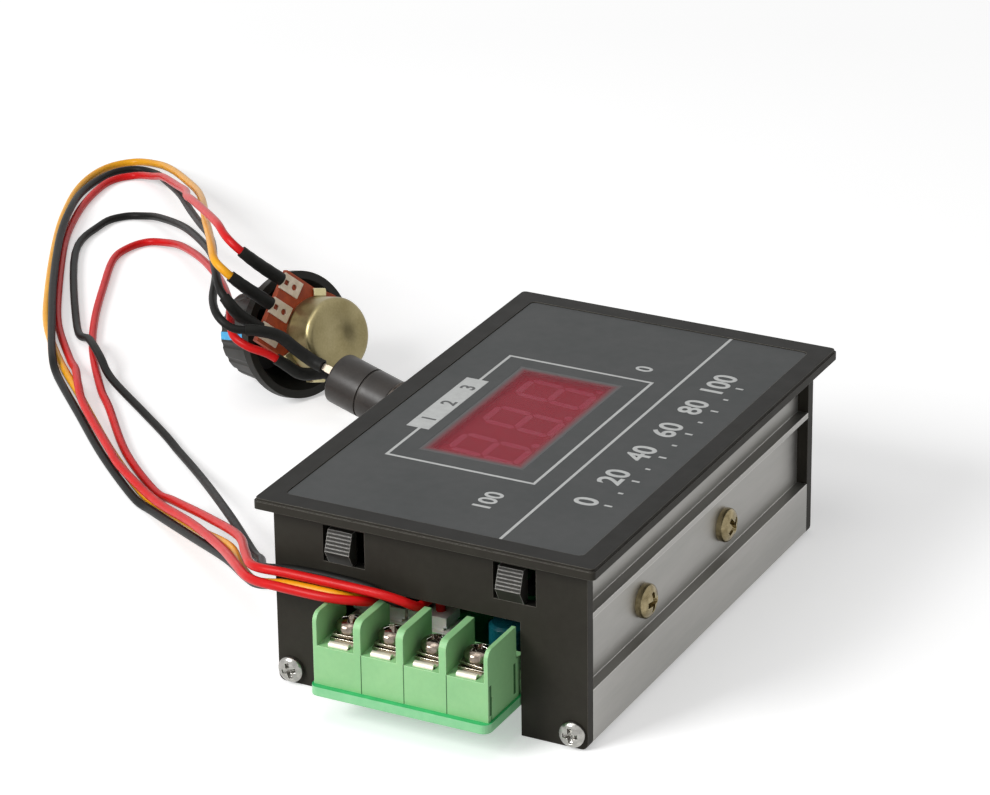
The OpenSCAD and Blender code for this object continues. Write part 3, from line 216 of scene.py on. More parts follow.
# Painted shade: the dark tone of the grooves between the terminals and of the slots in the block's
# end.
groove_shade_green = surface("groove_shade_green", srgb(37, 80, 37), srgb(50, 99, 50), 900, (0.5, 0.6),
                     bump=(0.004, 3000))
board_green = surface("board_green", srgb(37, 166, 94), srgb(52, 187, 111), 500, (0.3, 0.42),
                      bump=(0.006, 1500), side=(srgb(124, 198, 140), srgb(142, 207, 153)))
inner_green = surface("inner_green", srgb(26, 84, 48), srgb(38, 104, 60), 500, (0.25, 0.4),
                      bump=(0.008, 1500))
chip_black = surface("chip_black", srgb(26, 26, 26), srgb(38, 38, 38), 900, (0.4, 0.6),
                     bump=(0.008, 3000), edge=srgb(70, 70, 70))
link_black = surface("link_black", srgb(22, 22, 22), srgb(32, 32, 31), 900, (0.35, 0.5),
                     bump=(0.006, 3000))
nylon = surface("nylon", srgb(237, 233, 223), srgb(250, 247, 238), 400, (0.36, 0.5),
                bump=(0.005, 2500), edge=srgb(255, 255, 254), Subsurface_Weight=0.1,
                Subsurface_Scale=0.001)
sleeve_blue = surface("sleeve_blue", srgb(30, 34, 66), srgb(42, 46, 84), 300, (0.25, 0.35),
                      bump=(0.004, 2500))
sleeve_teal = surface("sleeve_teal", srgb(12, 78, 90), srgb(20, 98, 108), 300, (0.22, 0.34),
                      bump=(0.004, 2500))
display_dark = surface("display_dark", srgb(150, 39, 58), srgb(165, 45, 66), 400, (0.4, 0.55),
                       bump=(0.005, 2500))
segment_pale = surface("segment_pale", srgb(255, 151, 186), srgb(255, 173, 203), 900, (0.35, 0.5),
                       bump=(0.004, 3000))
can_metal = surface("can_metal", srgb(134, 123, 87), srgb(155, 144, 107), 260, (0.26, 0.42),
                    bump=(0.006, 700), metal=0.9, edge=srgb(240, 230, 194), edge_r=0.3, wear_and_glint_breakup=0.2)
plate_metal = surface("plate_metal", srgb(176, 166, 122), srgb(206, 196, 152), 400, (0.25, 0.42),
                      bump=(0.006, 1500), metal=0.9, edge=srgb(232, 224, 190), edge_r=0.12)
phenolic = surface("phenolic", srgb(148, 55, 21), srgb(187, 78, 34), 700, (0.4, 0.6),
                   bump=(0.012, 2200), edge=srgb(216, 110, 64))
lug_metal = surface("lug_metal", srgb(210, 193, 168), srgb(235, 220, 200), 900, (0.35, 0.5),
                    bump=(0.008, 1500), metal=0.3, edge=srgb(255, 248, 233), edge_r=0.1)
shaft_metal = surface("shaft_metal", srgb(176, 174, 168), srgb(206, 204, 198), 500, (0.25, 0.4),
                      bump=(0.004, 2000), metal=1.0)
knob_black = surface("knob_black", srgb(26, 26, 22), srgb(36, 35, 31), 160, (0.38, 0.52),
                     bump=(0.008, 3000), edge=srgb(84, 84, 76), edge_r=0.2, wear_and_glint_breakup=0.5,
                     Specular_IOR_Level=0.2)
pointer_blue = surface("pointer_blue", srgb(59, 165, 220), srgb(74, 180, 233), 500, (0.35, 0.5),
                       bump=(0.004, 3000))
switch_black = surface("switch_black", srgb(34, 30, 27), srgb(50, 45, 41), 260, (0.3, 0.46),
                       bump=(0.008, 2500), edge=srgb(110, 104, 96), edge_r=0.15, wear_and_glint_breakup=0.5,
                       Specular_IOR_Level=0.35)
button_red = surface("button_red", srgb(159, 30, 25), srgb(182, 38, 32), 300, (0.22, 0.34),
                     bump=(0.003, 2500), edge=srgb(227, 95, 85))
spring_steel = surface("spring_steel", srgb(150, 150, 148), srgb(186, 186, 184), 900, (0.2, 0.35),
                       bump=(0.003, 2000), metal=1.0)
shrink_black = surface("shrink_black", srgb(16, 16, 15), srgb(27, 27, 24), 500, (0.46, 0.6),
                       bump=(0.03, 900), edge=srgb(48, 48, 44), edge_r=0.1, Specular_IOR_Level=0.15)
LEAD_LOOKS = {
    "yellow": surface("lead_yellow", srgb(227, 155, 17), srgb(244, 174, 28), 300, (0.3, 0.42),
                      bump=(0.01, 900), Specular_IOR_Level=0.25),
    "black": surface("lead_black", srgb(14, 14, 13), srgb(23, 23, 21), 300, (0.4, 0.52),
                     bump=(0.01, 900), Specular_IOR_Level=0.15),
    "red": surface("lead_red", srgb(196, 14, 16), srgb(212, 22, 22), 300, (0.3, 0.42),
                   bump=(0.01, 900), Specular_IOR_Level=0.2)}


def red_filter_look():
    """A clear red filter whose tone fades into the grey film round its edges."""
    m = bpy.data.materials.new("red_filter")
    m.use_nodes = True
    t = m.node_tree
    t.nodes.clear()
    low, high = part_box("display_filter")
    middle, half = (low + high) / 2, (high - low) / 2
    coord = add(t, "ShaderNodeTexCoord").outputs["Object"]
    away = add(t, "ShaderNodeVectorMath", {0: coord, 1: middle}, operation="SUBTRACT").outputs[0]
    away = add(t, "ShaderNodeVectorMath", {0: away}, operation="ABSOLUTE").outputs[0]
    away = add(t, "ShaderNodeVectorMath", {0: away, 1: half}, operation="SUBTRACT").outputs[0]
    part = add(t, "ShaderNodeSeparateXYZ", {"Vector": away})
    reach = add(t, "ShaderNodeMath", {0: part.outputs[0], 1: part.outputs[1]}, operation="MAXIMUM")
    uneven = add(t, "ShaderNodeTexNoise", {"Vector": coord, "Scale": 500.0,
                                           "Detail": 2.0}).outputs[0]
    fade, stray = 2.2 * MM, 0.1 * MM
    jitter = spread(t, uneven, -stray, stray)
    shifted = add(t, "ShaderNodeMath", {0: reach.outputs[0], 1: jitter},
                  operation="ADD").outputs[0]
    rim = add(t, "ShaderNodeMapRange", {"Value": shifted, "From Min": -fade, "From Max": -stray},
              interpolation_type="SMOOTHSTEP").outputs[0]
    red = ramp(t, uneven, [(0.3, srgb(154, 32, 50)), (0.7, srgb(164, 38, 56))])
    colour = add(t, "ShaderNodeMix", {"Factor": rim, 6: red, 7: srgb(84, 84, 84)}, data_type="RGBA")
    shader = add(t, "ShaderNodeBsdfPrincipled", {"Base Color": colour.outputs[2],
                                                 "Roughness": spread(t, uneven, 0.3, 0.42),
                                                 "Alpha": spread(t, rim, 0.5, 1.0),
                                                 "Specular IOR Level": 0.15})
    add(t, "ShaderNodeOutputMaterial", {"Surface": shader.outputs[0]})
    return m


LOOKS = {
    "housing": case_black, "overlay_panel": film_grey, "display_filter": red_filter_look(),
    "heat_sink_right": aluminium, "heat_sink_left": aluminium, "bottom_cover": cover_black,
    "snap_tab_front_left": tab_black, "snap_tab_front_right": tab_black,
    "snap_tab_rear_left": tab_black, "snap_tab_rear_right": tab_black,
    "corner_screws": nickel, "side_screws": zinc_yellow, "clamp_bar_right": bar_metal,
    "clamp_bar_left": bar_metal, "power_transistors": chip_black, "power_diodes": chip_black,
    "main_board": board_green, "terminal_block": terminal_green,
    "terminal_contacts": contact_metal, "display_board": inner_green,
    "led_display": display_dark, "display_screws": nickel, "board_link": link_black,
    "filter_capacitors": sleeve_blue, "input_capacitor": sleeve_teal,
    "controller_chip": chip_black, "pot_socket": nylon, "switch_socket": nylon,
    "pot_plug": nylon, "switch_plug": nylon, "pot_can": can_metal, "pot_board": phenolic,
    "pot_lugs": lug_metal, "pot_bushing": plate_metal, "pot_washer": nickel, "pot_nut": nickel,
    "pot_shaft": shaft_metal, "knob": knob_black, "knob_pointer": pointer_blue,
    "switch_body": switch_black, "switch_neck": neck_metal, "switch_nut": nickel,
    "switch_button": button_red, "switch_spring": spring_steel, "switch_lugs": lug_metal,
    "pot_sleeves": shrink_black, "switch_sleeves": shrink_black}
for i in range(1, 5):
    LOOKS["terminal_clamp_%d" % i] = washer_metal
    LOOKS["terminal_screw_%d" % i] = screw_metal
for colour in ("yellow", "black_outer", "black_inner", "red_outer", "red_inner"):
    LOOKS["wire_" + colour] = LEAD_LOOKS[colour.split("_")[0]]
for name, look_of in LOOKS.items():
    NODES[name].data.materials.clear()
    NODES[name].data.materials.append(look_of)


# Mesh helpers
def piece(name, verts, faces, look_of, body, slot, place=None, sharp=35, stands_for=()):
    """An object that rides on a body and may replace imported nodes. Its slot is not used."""
    mesh = bpy.data.meshes.new(name)
    mesh.from_pydata([tuple(v) for v in verts], [], faces)
    bm = bmesh.new()
    bm.from_mesh(mesh)
    bmesh.ops.remove_doubles(bm, verts=bm.verts, dist=1e-7)
    bmesh.ops.recalc_face_normals(bm, faces=bm.faces)
    bm.to_mesh(mesh)
    bm.free()
    mesh.polygons.foreach_set("use_smooth", [True] * len(mesh.polygons))
    mesh.set_sharp_from_angle(angle=math.radians(sharp))
    mesh.materials.append(look_of)
    ob = bpy.data.objects.new(name, mesh)
    bpy.context.scene.collection.objects.link(ob)
    if place is not None:
        ob.matrix_world = place
    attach(ob, body)
    if stands_for:
        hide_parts(*stands_for)
    return ob


def joined(parts):
    """One list of vertices and faces out of several."""
    verts, faces = [], []
    for v, f in parts:
        base = len(verts)
        verts += v
        faces += [[i + base for i in q] for q in f]
    return verts, faces


def moved(part, matrix):
    return [matrix @ Vector(v) for v in part[0]], part[1]


def brick(x0, x1, y0, y1, z0, z1, bevel=0.0):
    """A box in millimetres, with bevelled edges if asked."""
    bm = bmesh.new()
    bmesh.ops.create_cube(bm, size=1)
    size = mm(x1 - x0, y1 - y0, z1 - z0)
    for v in bm.verts:
        v.co = Vector(a * b for a, b in zip(v.co, size)) + mm(x0 + x1, y0 + y1, z0 + z1) / 2
    if bevel:
        bmesh.ops.bevel(bm, geom=bm.edges[:], offset=bevel * MM, segments=2, affect="EDGES",
                        profile=0.5)
    bm.verts.index_update()
    part = [v.co.copy() for v in bm.verts], [[v.index for v in f.verts] for f in bm.faces]
    bm.free()
    return part


def lathe(profile, sides=48, closed=False, radius=None):
    """Turns a profile of (radius, height) in millimetres. A point's radius may be changed by
    radius(r, z, angle)."""
    n = len(profile)
    verts = []
    for i in range(sides):
        a = TAU * i / sides
        for r, z in profile:
            q = radius(r, z, a) if radius else r
            verts.append(mm(q * math.cos(a), q * math.sin(a), z))
    faces = []
    for i in range(sides):
        b, c = i * n, (i + 1) % sides * n
        for j in range(n if closed else n - 1):
            k = (j + 1) % n
            q = [b + j, c + j, c + k, b + k]
            faces.append(q if min(profile[j][0], profile[k][0]) > 1e-6 else
                         [b + j, c + k, b + k] if profile[j][0] <= 1e-6 else [b + j, c + j, b + k])
    return verts, faces


def thread_wave(pitch, deep, z0, z1):
    """A screw thread between two heights: how far a point at a radius, height and angle goes in."""
    def radius(r, z, a):
        if not z0 < z < z1:
            return r
        w = (z / pitch - a / TAU) % 1
        fade = min(1, (z - z0) / pitch, (z1 - z) / pitch)
        return r - deep * fade * abs(2 * w - 1)
    return radius


def steps(z0, z1, n):
    return [z0 + (z1 - z0) * i / n for i in range(n + 1)]


def tube(path, radius, sides=12, ends=None, turn=0.0):
    """A round tube along points in metres. radius is a number or a list, one for each point."""
    n = len(path)
    radii = radius if isinstance(radius, list) else [radius] * n
    tangents = [(path[min(i + 1, n - 1)] - path[max(i - 1, 0)]).normalized() for i in range(n)]
    side = Vector((0, 0, 1)) if abs(tangents[0].z) < 0.9 else Vector((1, 0, 0))
    verts = []
    for p, t, r in zip(path, tangents, radii):
        side = (side - side.dot(t) * t).normalized()
        other = t.cross(side)
        verts += [p + r * (math.cos(TAU * k / sides) * side + math.sin(TAU * k / sides) * other)
                  for k in range(sides)]
    faces = [[i * sides + k, i * sides + (k + 1) % sides, (i + 1) * sides + (k + 1) % sides,
              (i + 1) * sides + k] for i in range(n - 1) for k in range(sides)]
    faces += [list(range(sides))[::-1], [(n - 1) * sides + k for k in range(sides)]]
    return verts, faces


def shell(path, outer, inner, sides=14):
    """An open-ended tube with a wall. outer is a list of radii."""
    a, fa = tube(path, outer, sides)
    b, fb = tube(path, inner, sides)
    fa, fb = fa[:-2], fb[:-2]
    n, last = len(a), (len(path) - 1) * sides
    faces = fa + [[i + n for i in q] for q in fb]
    for base in (0, last):
        faces += [[base + k, base + (k + 1) % sides, n + base + (k + 1) % sides, n + base + k]
                  for k in range(sides)]
    return a + b, faces


def cut(part, cutter):
    """The first closed part less the second."""
    obs = []
    for v, f in (part, cutter):
        me = bpy.data.meshes.new("cut")
        me.from_pydata([tuple(p / MM) for p in map(Vector, v)], [], f)
        bm = bmesh.new()
        bm.from_mesh(me)
        bmesh.ops.remove_doubles(bm, verts=bm.verts, dist=1e-4)
        bmesh.ops.recalc_face_normals(bm, faces=bm.faces)
        bm.to_mesh(me)
        bm.free()
        ob = bpy.data.objects.new("cut", me)
        bpy.context.scene.collection.objects.link(ob)
        obs.append(ob)
    mod = obs[0].modifiers.new("cut", "BOOLEAN")
    mod.operation, mod.object, mod.solver = "DIFFERENCE", obs[1], "EXACT"
    bpy.context.view_layer.update()
    me = obs[0].evaluated_get(bpy.context.evaluated_depsgraph_get()).to_mesh()
    out = [v.co * MM for v in me.vertices], [list(p.vertices) for p in me.polygons]
    for ob in obs:
        bpy.data.objects.remove(ob)
    return out


# Where the two loose controls lie, as in the model
def pose(origin, tilt, azimuth):
    """The matrix of a part whose axis leans down by tilt and points to azimuth."""
    return (Matrix.Translation(mm(*origin)) @ Matrix.Rotation(math.radians(azimuth), 4, "Z")
            @ Matrix.Rotation(math.radians(90 + tilt), 4, "Y"))


def spun(place, degrees):
    return place @ Matrix.Rotation(math.radians(degrees), 4, "Z")


POT = pose((-79.281, 56.201, 13.420), 16, 158.3)
SWITCH = pose((-67.4, 44.9, 11.317), 12, -9)
POT_LUGS, SWITCH_LUGS = spun(POT, 133), spun(SWITCH, 225)
LUG_PITCH, LUG_TIP, LUG_Z = 5.2, 14.2, -1.5
LUG_GAP, SWITCH_LUG_TIP = 2.1, 3.6

# The leads
LEAD_D, SLEEVE_D, SLEEVE_PLAY = 1.6, 2.6, 0.1
SLEEVE_TAPER, SLEEVE_RIPPLE = 0.18, 0.05
PLUG_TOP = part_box("pot_plug")[1].z
ROUTES = {
    "red_outer": [(-87.1, 45.9, 32), (-89.3, 45.1, 34), (-92.3, 46.6, 35.1), (-98, 52.8, 34.7),
        (-116.3, 74.8, 28), (-126.1, 88.3, 22.6), (-136.8, 105.1, 16.1), (-148.1, 120, 10.2),
        (-159.7, 133.3, 5.5), (-165.8, 138.7, 2.8), (-172, 141.4, 1), (-175.4, 136.4, 0.8),
        (-174, 125.6, 0.8), (-170.2, 113.8, 0.8), (-164.4, 101, 0.8), (-153.1, 81.1, 0.8),
        (-142.9, 64.8, 0.8), (-131.5, 51, 0.9), (-126, 44.6, 2.1), (-121, 37.6, 2.8),
        (-114.7, 29.8, 2.5), (-100.7, 15.8, 2.5), (-93.7, 9.1, 2.5), (-79.7, -1.8, 3.3),
        (-64, -14.8, 7.6), (-48.4, -31, 13.4), (-38.4, -43.2, 18), (-31.2, -50.4, 19.9),
        (-24, -52.4, 20.7), (-15.5, -52.6, 20.8), (-11.2, -51.1, 20.5), (-9.5, -49, 19.8),
        (-9.3, -46.6, 19.6), (-9.3, -42.8, 19.3), (-9.3, -41, 18.8), (-9.3, -39.9, 17.7),
        (-9.3, -39.5, 16.4)],
    "yellow": [(-87.4, 42.2, 28.3), (-89.5, 41.3, 30.3), (-92.4, 42.7, 31.5), (-97.2, 49.6, 31.2),
        (-103.8, 59.7, 28.9), (-112, 72, 25.9), (-124.6, 91.7, 20.4), (-137, 110.1, 14.2),
        (-148.8, 125.1, 9.3), (-160.5, 138.7, 5), (-169, 146.3, 2.4), (-176.5, 148.4, 1),
        (-180.4, 142.6, 0.8), (-179.6, 131.4, 0.8), (-174, 116.2, 0.8), (-166.6, 101, 0.8),
        (-154.9, 80, 0.8), (-144.6, 63.4, 0.8), (-133, 49.6, 0.8), (-121, 37.6, 0.8),
        (-114, 30.4, 0.8), (-100, 16.4, 0.8), (-86, 4, 0.8), (-78.9, -0.8, 1.5),
        (-63.5, -13.6, 5.9), (-47.6, -29.4, 13), (-38, -41.6, 16.4), (-31, -48.6, 18.6),
        (-24, -50.4, 20.4), (-16.5, -50.8, 20.7), (-13.4, -50.3, 20.4), (-12, -48.6, 19.8),
        (-11.8, -46.6, 19.7), (-11.8, -42.8, 19.3), (-11.8, -41, 18.8), (-11.8, -39.9, 17.7),
        (-11.8, -39.5, 16.4)],
    "black_outer": [(-87.7, 39.6, 24.7), (-90, 40.4, 26.7), (-93.3, 44.5, 27.9),
        (-98.1, 51.7, 27.2), (-105, 62.8, 24.8), (-113.5, 75.3, 21.4), (-124.6, 90.2, 16.5),
        (-137.3, 107.3, 11.1), (-149.5, 123.2, 6.9), (-161.2, 136.9, 3), (-168.4, 144, 1.2),
        (-174.4, 145, 0.8), (-177.8, 139.6, 0.8), (-176.9, 128.6, 1.3), (-172.2, 116, 2.5),
        (-165.5, 101.2, 2.5), (-154, 80.6, 2.5), (-143.8, 64, 2.5), (-133.9, 48.6, 2.3),
        (-128.5, 42.2, 0.8), (-115.4, 29, 0.8), (-101.4, 15, 0.8), (-87.2, 2.4, 0.8),
        (-80.1, -2.4, 1.4), (-64.4, -15.4, 5.6), (-48, -30.2, 11.1), (-37.8, -40.6, 14.4),
        (-31, -46.9, 17.3), (-21.5, -48.7, 20.4), (-17.4, -49.1, 20.7), (-15.2, -48.7, 20.7),
        (-14.4, -47.4, 19.8), (-14.3, -46, 19.5), (-14.3, -42.8, 19.3), (-14.3, -41, 18.8),
        (-14.3, -39.9, 17.7), (-14.3, -39.5, 16.4)],
    "red_inner": [(-72, 46.75, 10.8), (-73.5, 45.9, 10.6), (-75.6, 44.1, 11), (-78, 42.7, 13),
        (-80.6, 40.9, 15.3), (-84, 39.2, 16.9), (-87.9, 40.5, 18.4), (-92, 46.8, 21),
        (-99.6, 57, 20), (-110.4, 71, 16), (-123.4, 87.4, 10.4), (-137.9, 104.3, 4),
        (-144.6, 109.2, 1.8), (-149.6, 109.6, 0.9), (-151.6, 105, 0.8), (-150.9, 98.4, 0.8),
        (-145.4, 86, 0.8), (-137.9, 70.6, 0.8), (-129.7, 56.6, 0.8), (-118.4, 41.4, 0.8),
        (-112, 34.2, 0.8), (-98.4, 18.2, 0.8), (-84.6, 5.8, 1), (-77.6, 0.9, 2.6),
        (-62.4, -12.4, 8.2), (-46.6, -28.2, 14.8), (-37.2, -41.6, 19.5), (-31, -49.4, 21.8),
        (-24, -50.4, 22.4), (-14, -50.4, 22.4), (-7, -50.2, 22.2), (-3.6, -49.4, 21.4),
        (-2.2, -48.4, 20.5), (-1.6, -47.1, 19.7), (-1.55, -45.8, 19.5), (-1.55, -42.8, 19.3),
        (-1.55, -41, 18.8), (-1.55, -39.9, 17.7), (-1.55, -39.5, 16.4)],
    "black_inner": [(-72.8, 43.9, 14.2), (-75.5, 43.1, 16.2), (-78.6, 41.9, 18.9),
        (-81.7, 39.3, 20.4), (-85.4, 37.2, 20.9), (-88.8, 37.5, 22.5), (-92.6, 41.8, 23.6),
        (-97, 50.4, 24.4), (-104.6, 62.6, 21.6), (-116.6, 79.6, 16.4), (-136.9, 104.7, 8),
        (-151.3, 118.1, 3), (-157.6, 121.4, 1.2), (-162, 119.8, 0.8), (-163.6, 113.6, 0.8),
        (-160, 98.2, 0.8), (-138.6, 65, 0.8), (-130.4, 56.8, 2.8), (-124, 50.4, 2.9),
        (-117.8, 44.6, 1.6), (-103.1, 33.8, 0.8), (-90.7, 23.7, 0.8), (-76.8, 10.1, 3),
        (-57.8, -12, 9), (-42, -31, 13.8), (-36.4, -38, 16.8), (-30.2, -47.2, 20.7),
        (-24, -48.3, 22.1), (-17, -48.3, 22.3), (-10, -48.6, 22.1), (-6.6, -48.8, 21.1),
        (-4.9, -48.4, 20.4), (-4.1, -47.2, 19.7), (-4.05, -45.8, 19.5), (-4.05, -42.8, 19.3),
        (-4.05, -41, 18.8), (-4.05, -39.9, 17.7), (-4.05, -39.5, 16.4)],
}


def smooth(points, m=6):
    """A Catmull-Rom curve through the points, with m steps between neighbours, never below the
    surface that the leads lie on."""
    n, out = len(points) - 1, []
    for i in range(n):
        a, b, c, d = (points[k] for k in (max(i - 1, 0), i, i + 1, min(i + 2, n)))
        for k in range(m):
            t = k / m
            out.append(0.5 * (2 * b + (c - a) * t + (2 * a - 5 * b + 4 * c - d) * t * t
                              + (3 * b - a - 3 * c + d) * t ** 3))
    out.append(points[-1])
    return [Vector((p.x, p.y, max(p.z, (LEAD_D / 2 + 0.01) * MM))) for p in out]


def lead_points(name, starts):
    """All points of a lead, from its lug to straight down into its plug."""
    route = [mm(*p) for p in ROUTES[name]]
    return starts + route + [Vector((route[-1].x, route[-1].y, PLUG_TOP))]


def start_points():
    """The first points of each lead, at its lug."""
    out = {}
    for name, k in (("red_outer", 1), ("yellow", 0), ("black_outer", -1)):
        out[name] = [POT_LUGS @ mm(r, k * LUG_PITCH, LUG_Z) for r in (LUG_TIP, LUG_TIP + 4)]
    for name, s in (("red_inner", 1), ("black_inner", -1)):
        out[name] = [SWITCH_LUGS @ mm(-s * LUG_GAP, 0, -SWITCH_LUG_TIP)]
    return out


def shrink_sleeve(path, steps_in, back):
    """The line and radii of a shrunk sleeve over the first steps of a lead, from a little behind
    its start. It is looser at the lug and tight at its far end."""
    line = [path[0] + back * MM * (path[0] - path[1]).normalized()] + path[:steps_in]
    n = len(line) - 1
    wave = random.random() * TAU
    radii = [(SLEEVE_D / 2 - SLEEVE_TAPER * (i / n) ** 2
              - SLEEVE_RIPPLE * abs(math.sin(wave + i * 0.9))) * MM for i in range(n + 1)]
    return line, radii


def make_leads():
    starts = start_points()
    for name, first in starts.items():
        path = smooth(lead_points(name, first))
        pot = len(first) == 2
        steps_in, back = (16, 1.4) if pot else (28, 0.3)
        line, radii = shrink_sleeve(path, steps_in, back)
        sleeve = piece("shrink_" + name, *shell(line, radii, (LEAD_D / 2 + SLEEVE_PLAY) * MM),
                       shrink_black, "case", "shrink_black",
                       stands_for=["pot_sleeves" if pot else "switch_sleeves"])
        colour = name.split("_")[0]
        wire = piece("lead_" + name, *tube(path, LEAD_D / 2 * MM), LEAD_LOOKS[colour], "case",
                     "lead_" + colour, stands_for=["wire_" + name])


make_leads()


# Screws with cross recesses
def cross_cutter(span, width, deep, top):
    """A tapered cross that cuts a recess from the top of a head down."""
    def ring(f, g, z):
        a, b = span / 2 * f, width / 2 * g
        return [mm(x, y, z) for x, y in ((a, -b), (a, b), (b, b), (b, a), (-b, a), (-b, b), (-a, b),
                                         (-a, -b), (-b, -b), (-b, -a), (b, -a), (b, -b))]
    rings = [ring(1.1, 1.1, top + 0.4), ring(0.9, 0.95, top - deep * 0.5),
             ring(0.4, 0.6, top - deep)]
    faces = [list(range(12))[::-1], [24 + k for k in range(12)]]
    faces += [[i * 12 + k, i * 12 + (k + 1) % 12, (i + 1) * 12 + (k + 1) % 12, (i + 1) * 12 + k]
              for i in range(2) for k in range(12)]
    return [p for r in rings for p in r], faces


def screw(head_d, head_h, shank_d, shank_l, pitch=0.7):
    """A pan head screw, seated at zero with its head above."""
    r = head_d / 2
    dome = [(r * math.sin(a), head_h * (0.42 + 0.58 * math.cos(a)))
            for a in (math.radians(v) for v in range(0, 91, 9))]
    head = lathe(dome + [(r, head_h * 0.15), (r * 0.97, 0), (0, 0)])
    head = cut(head, cross_cutter(head_d * 0.62, head_d * 0.17, head_h * 0.62, head_h))
    s = shank_d / 2
    rows = [(s, z) for z in steps(-0.02, -shank_l + 0.6, int(shank_l * 7))]
    shank = lathe([(0, 0.3), (s, 0.3)] + rows + [(s * 0.6, -shank_l), (0, -shank_l)], 24,
                  radius=lambda q, z, a: thread_wave(pitch, 0.18, 0.6 - shank_l, -0.4)(q, z, a)
                  if abs(q - s) < 1e-6 else q)
    return joined([head, shank])


def facing(x, y, z, direction):
    """A place whose own Z points along a direction."""
    turn = Vector(direction).to_track_quat("Z", "Y").to_matrix().to_4x4()
    return Matrix.Translation(Vector((x, y, z))) @ turn


def make_screws():
    low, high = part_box("side_screws")
    head, tall = 6.0, 2.2
    part = screw(head, tall, shank_d=3, shank_l=9.4)
    for i, (s, e) in enumerate((s, e) for s in (-1, 1) for e in (-1, 1)):
        y = low.y + head / 2 * MM if e < 0 else high.y - head / 2 * MM
        place = facing(s * (high.x - tall * MM), y, (low.z + high.z) / 2, (s, 0, 0))
        piece("side_screw_%d" % (i + 1), *part, zinc_yellow, "case", "yellow_zinc",
              place=spun(place, 20 + 35 * i), stands_for=["side_screws"])
    low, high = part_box("corner_screws")
    head, tall = 4.6, 1.6
    part = screw(head, tall, shank_d=2.5, shank_l=9)
    for i, (s, e) in enumerate((s, e) for s in (-1, 1) for e in (-1, 1)):
        y = low.y + tall * MM if e < 0 else high.y - tall * MM
        place = facing(s * (high.x - head / 2 * MM), y, (low.z + high.z) / 2, (0, e, 0))
        piece("corner_screw_%d" % (i + 1), *part, nickel, "case", "nickel_steel",
              place=spun(place, 15 + 40 * i), stands_for=["corner_screws"])
    head, tall = 5, 2.2
    part = screw(head, tall, shank_d=3, shank_l=5.8)
    for i in range(1, 5):
        low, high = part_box("terminal_screw_%d" % i)
        middle = (low + high) / 2
        place = Matrix.Translation((middle.x, middle.y, high.z - tall * MM))
        piece("clamp_screw_%d" % i, *part, screw_metal, "screw_%d" % i, "nickel_steel",
              place=spun(place, 20 * i), stands_for=["terminal_screw_%d" % i])


make_screws()


# The potentiometer and the switch
def arc(cx, cy, r, start, end, n=5):
    """Points of an arc in a profile, from one angle to another in degrees."""
    return [(cx + r * math.cos(math.radians(a)), cy + r * math.sin(math.radians(a)))
            for a in steps(start, end, n)]


def sheet_strip(outline, thick, width):
    """A strip of bent sheet: an outline of (x, z) points with a thickness, across a width in Y."""
    pts = [Vector((x, 0, z)) for x, z in outline]
    verts = []
    for i, p in enumerate(pts):
        d = (pts[min(i + 1, len(pts) - 1)] - pts[max(i - 1, 0)]).normalized()
        side = Vector((d.z, 0, -d.x)) * thick / 2
        verts += [(p + s * side + Vector((0, w * width / 2, 0))) * MM
                  for s, w in ((1, 1), (1, -1), (-1, -1), (-1, 1))]
    n = len(pts)
    faces = [[i * 4 + k, i * 4 + (k + 1) % 4, (i + 1) * 4 + (k + 1) % 4, (i + 1) * 4 + k]
             for i in range(n - 1) for k in range(4)]
    return verts, faces + [[0, 1, 2, 3], [(n - 1) * 4 + k for k in (3, 2, 1, 0)]]


def make_pot():
    """The can as a hollow shell, the threaded bushing with its plate, and four folded ears."""
    r, deep, front, bend, dent, lip, wall = 7.4, 6.8, -1.3, 1.2, 0.25, 0.08, 0.5
    rear = front - deep
    outer = [(0, rear + dent), (2.2, rear + dent), (2.6, rear)]
    outer += arc(r - bend, rear + bend, bend, -90, 0)
    rim = [(r, front - 1.1), (r + lip, front - 0.9), (r + lip, front), (r - wall, front)]
    inner = arc(r - (bend + wall), rear + (bend + wall), bend, 0, -90) + [(0, rear + wall)]
    piece("pot_shell", *lathe(outer + rim + inner, 96), can_metal, "case", "pot_metal", place=POT,
          stands_for=["pot_can"])
    s, neck = 3.5, 2.4
    turns = [(s, z) for z in steps(1.1, 6.5, 54)]
    part = lathe([(neck, 0), (7.7, 0), (7.8, 0.1), (7.8, 0.8), (7.7, 0.9), (s, 0.9)] + turns
                 + [(s - 0.3, 6.9), (neck, 6.9)], 72, closed=True,
                 radius=lambda q, z, a: thread_wave(0.6, 0.22, 1.2, 6.6)(q, z, a) if q == s else q)
    piece("pot_thread", *part, plate_metal, "case", "pot_metal", place=POT,
          stands_for=["pot_bushing"])
    fold = ([(7.2, 0.45), (8.5, 0.45)] + arc(8.5, 0.15, 0.3, 90, 0, 3) + [(8.8, -1.2)]
            + arc(8.5, -1.4, 0.3, 0, -90, 3) + [(7.5, -1.75)])
    ears = [moved(sheet_strip(fold, 0.3, 2.8), Matrix.Rotation(math.radians(a), 4, "Z"))
            for a in (62, 118, 242, 298)]
    piece("pot_ears", *joined(ears), plate_metal, "case", "pot_metal", place=POT_LUGS)


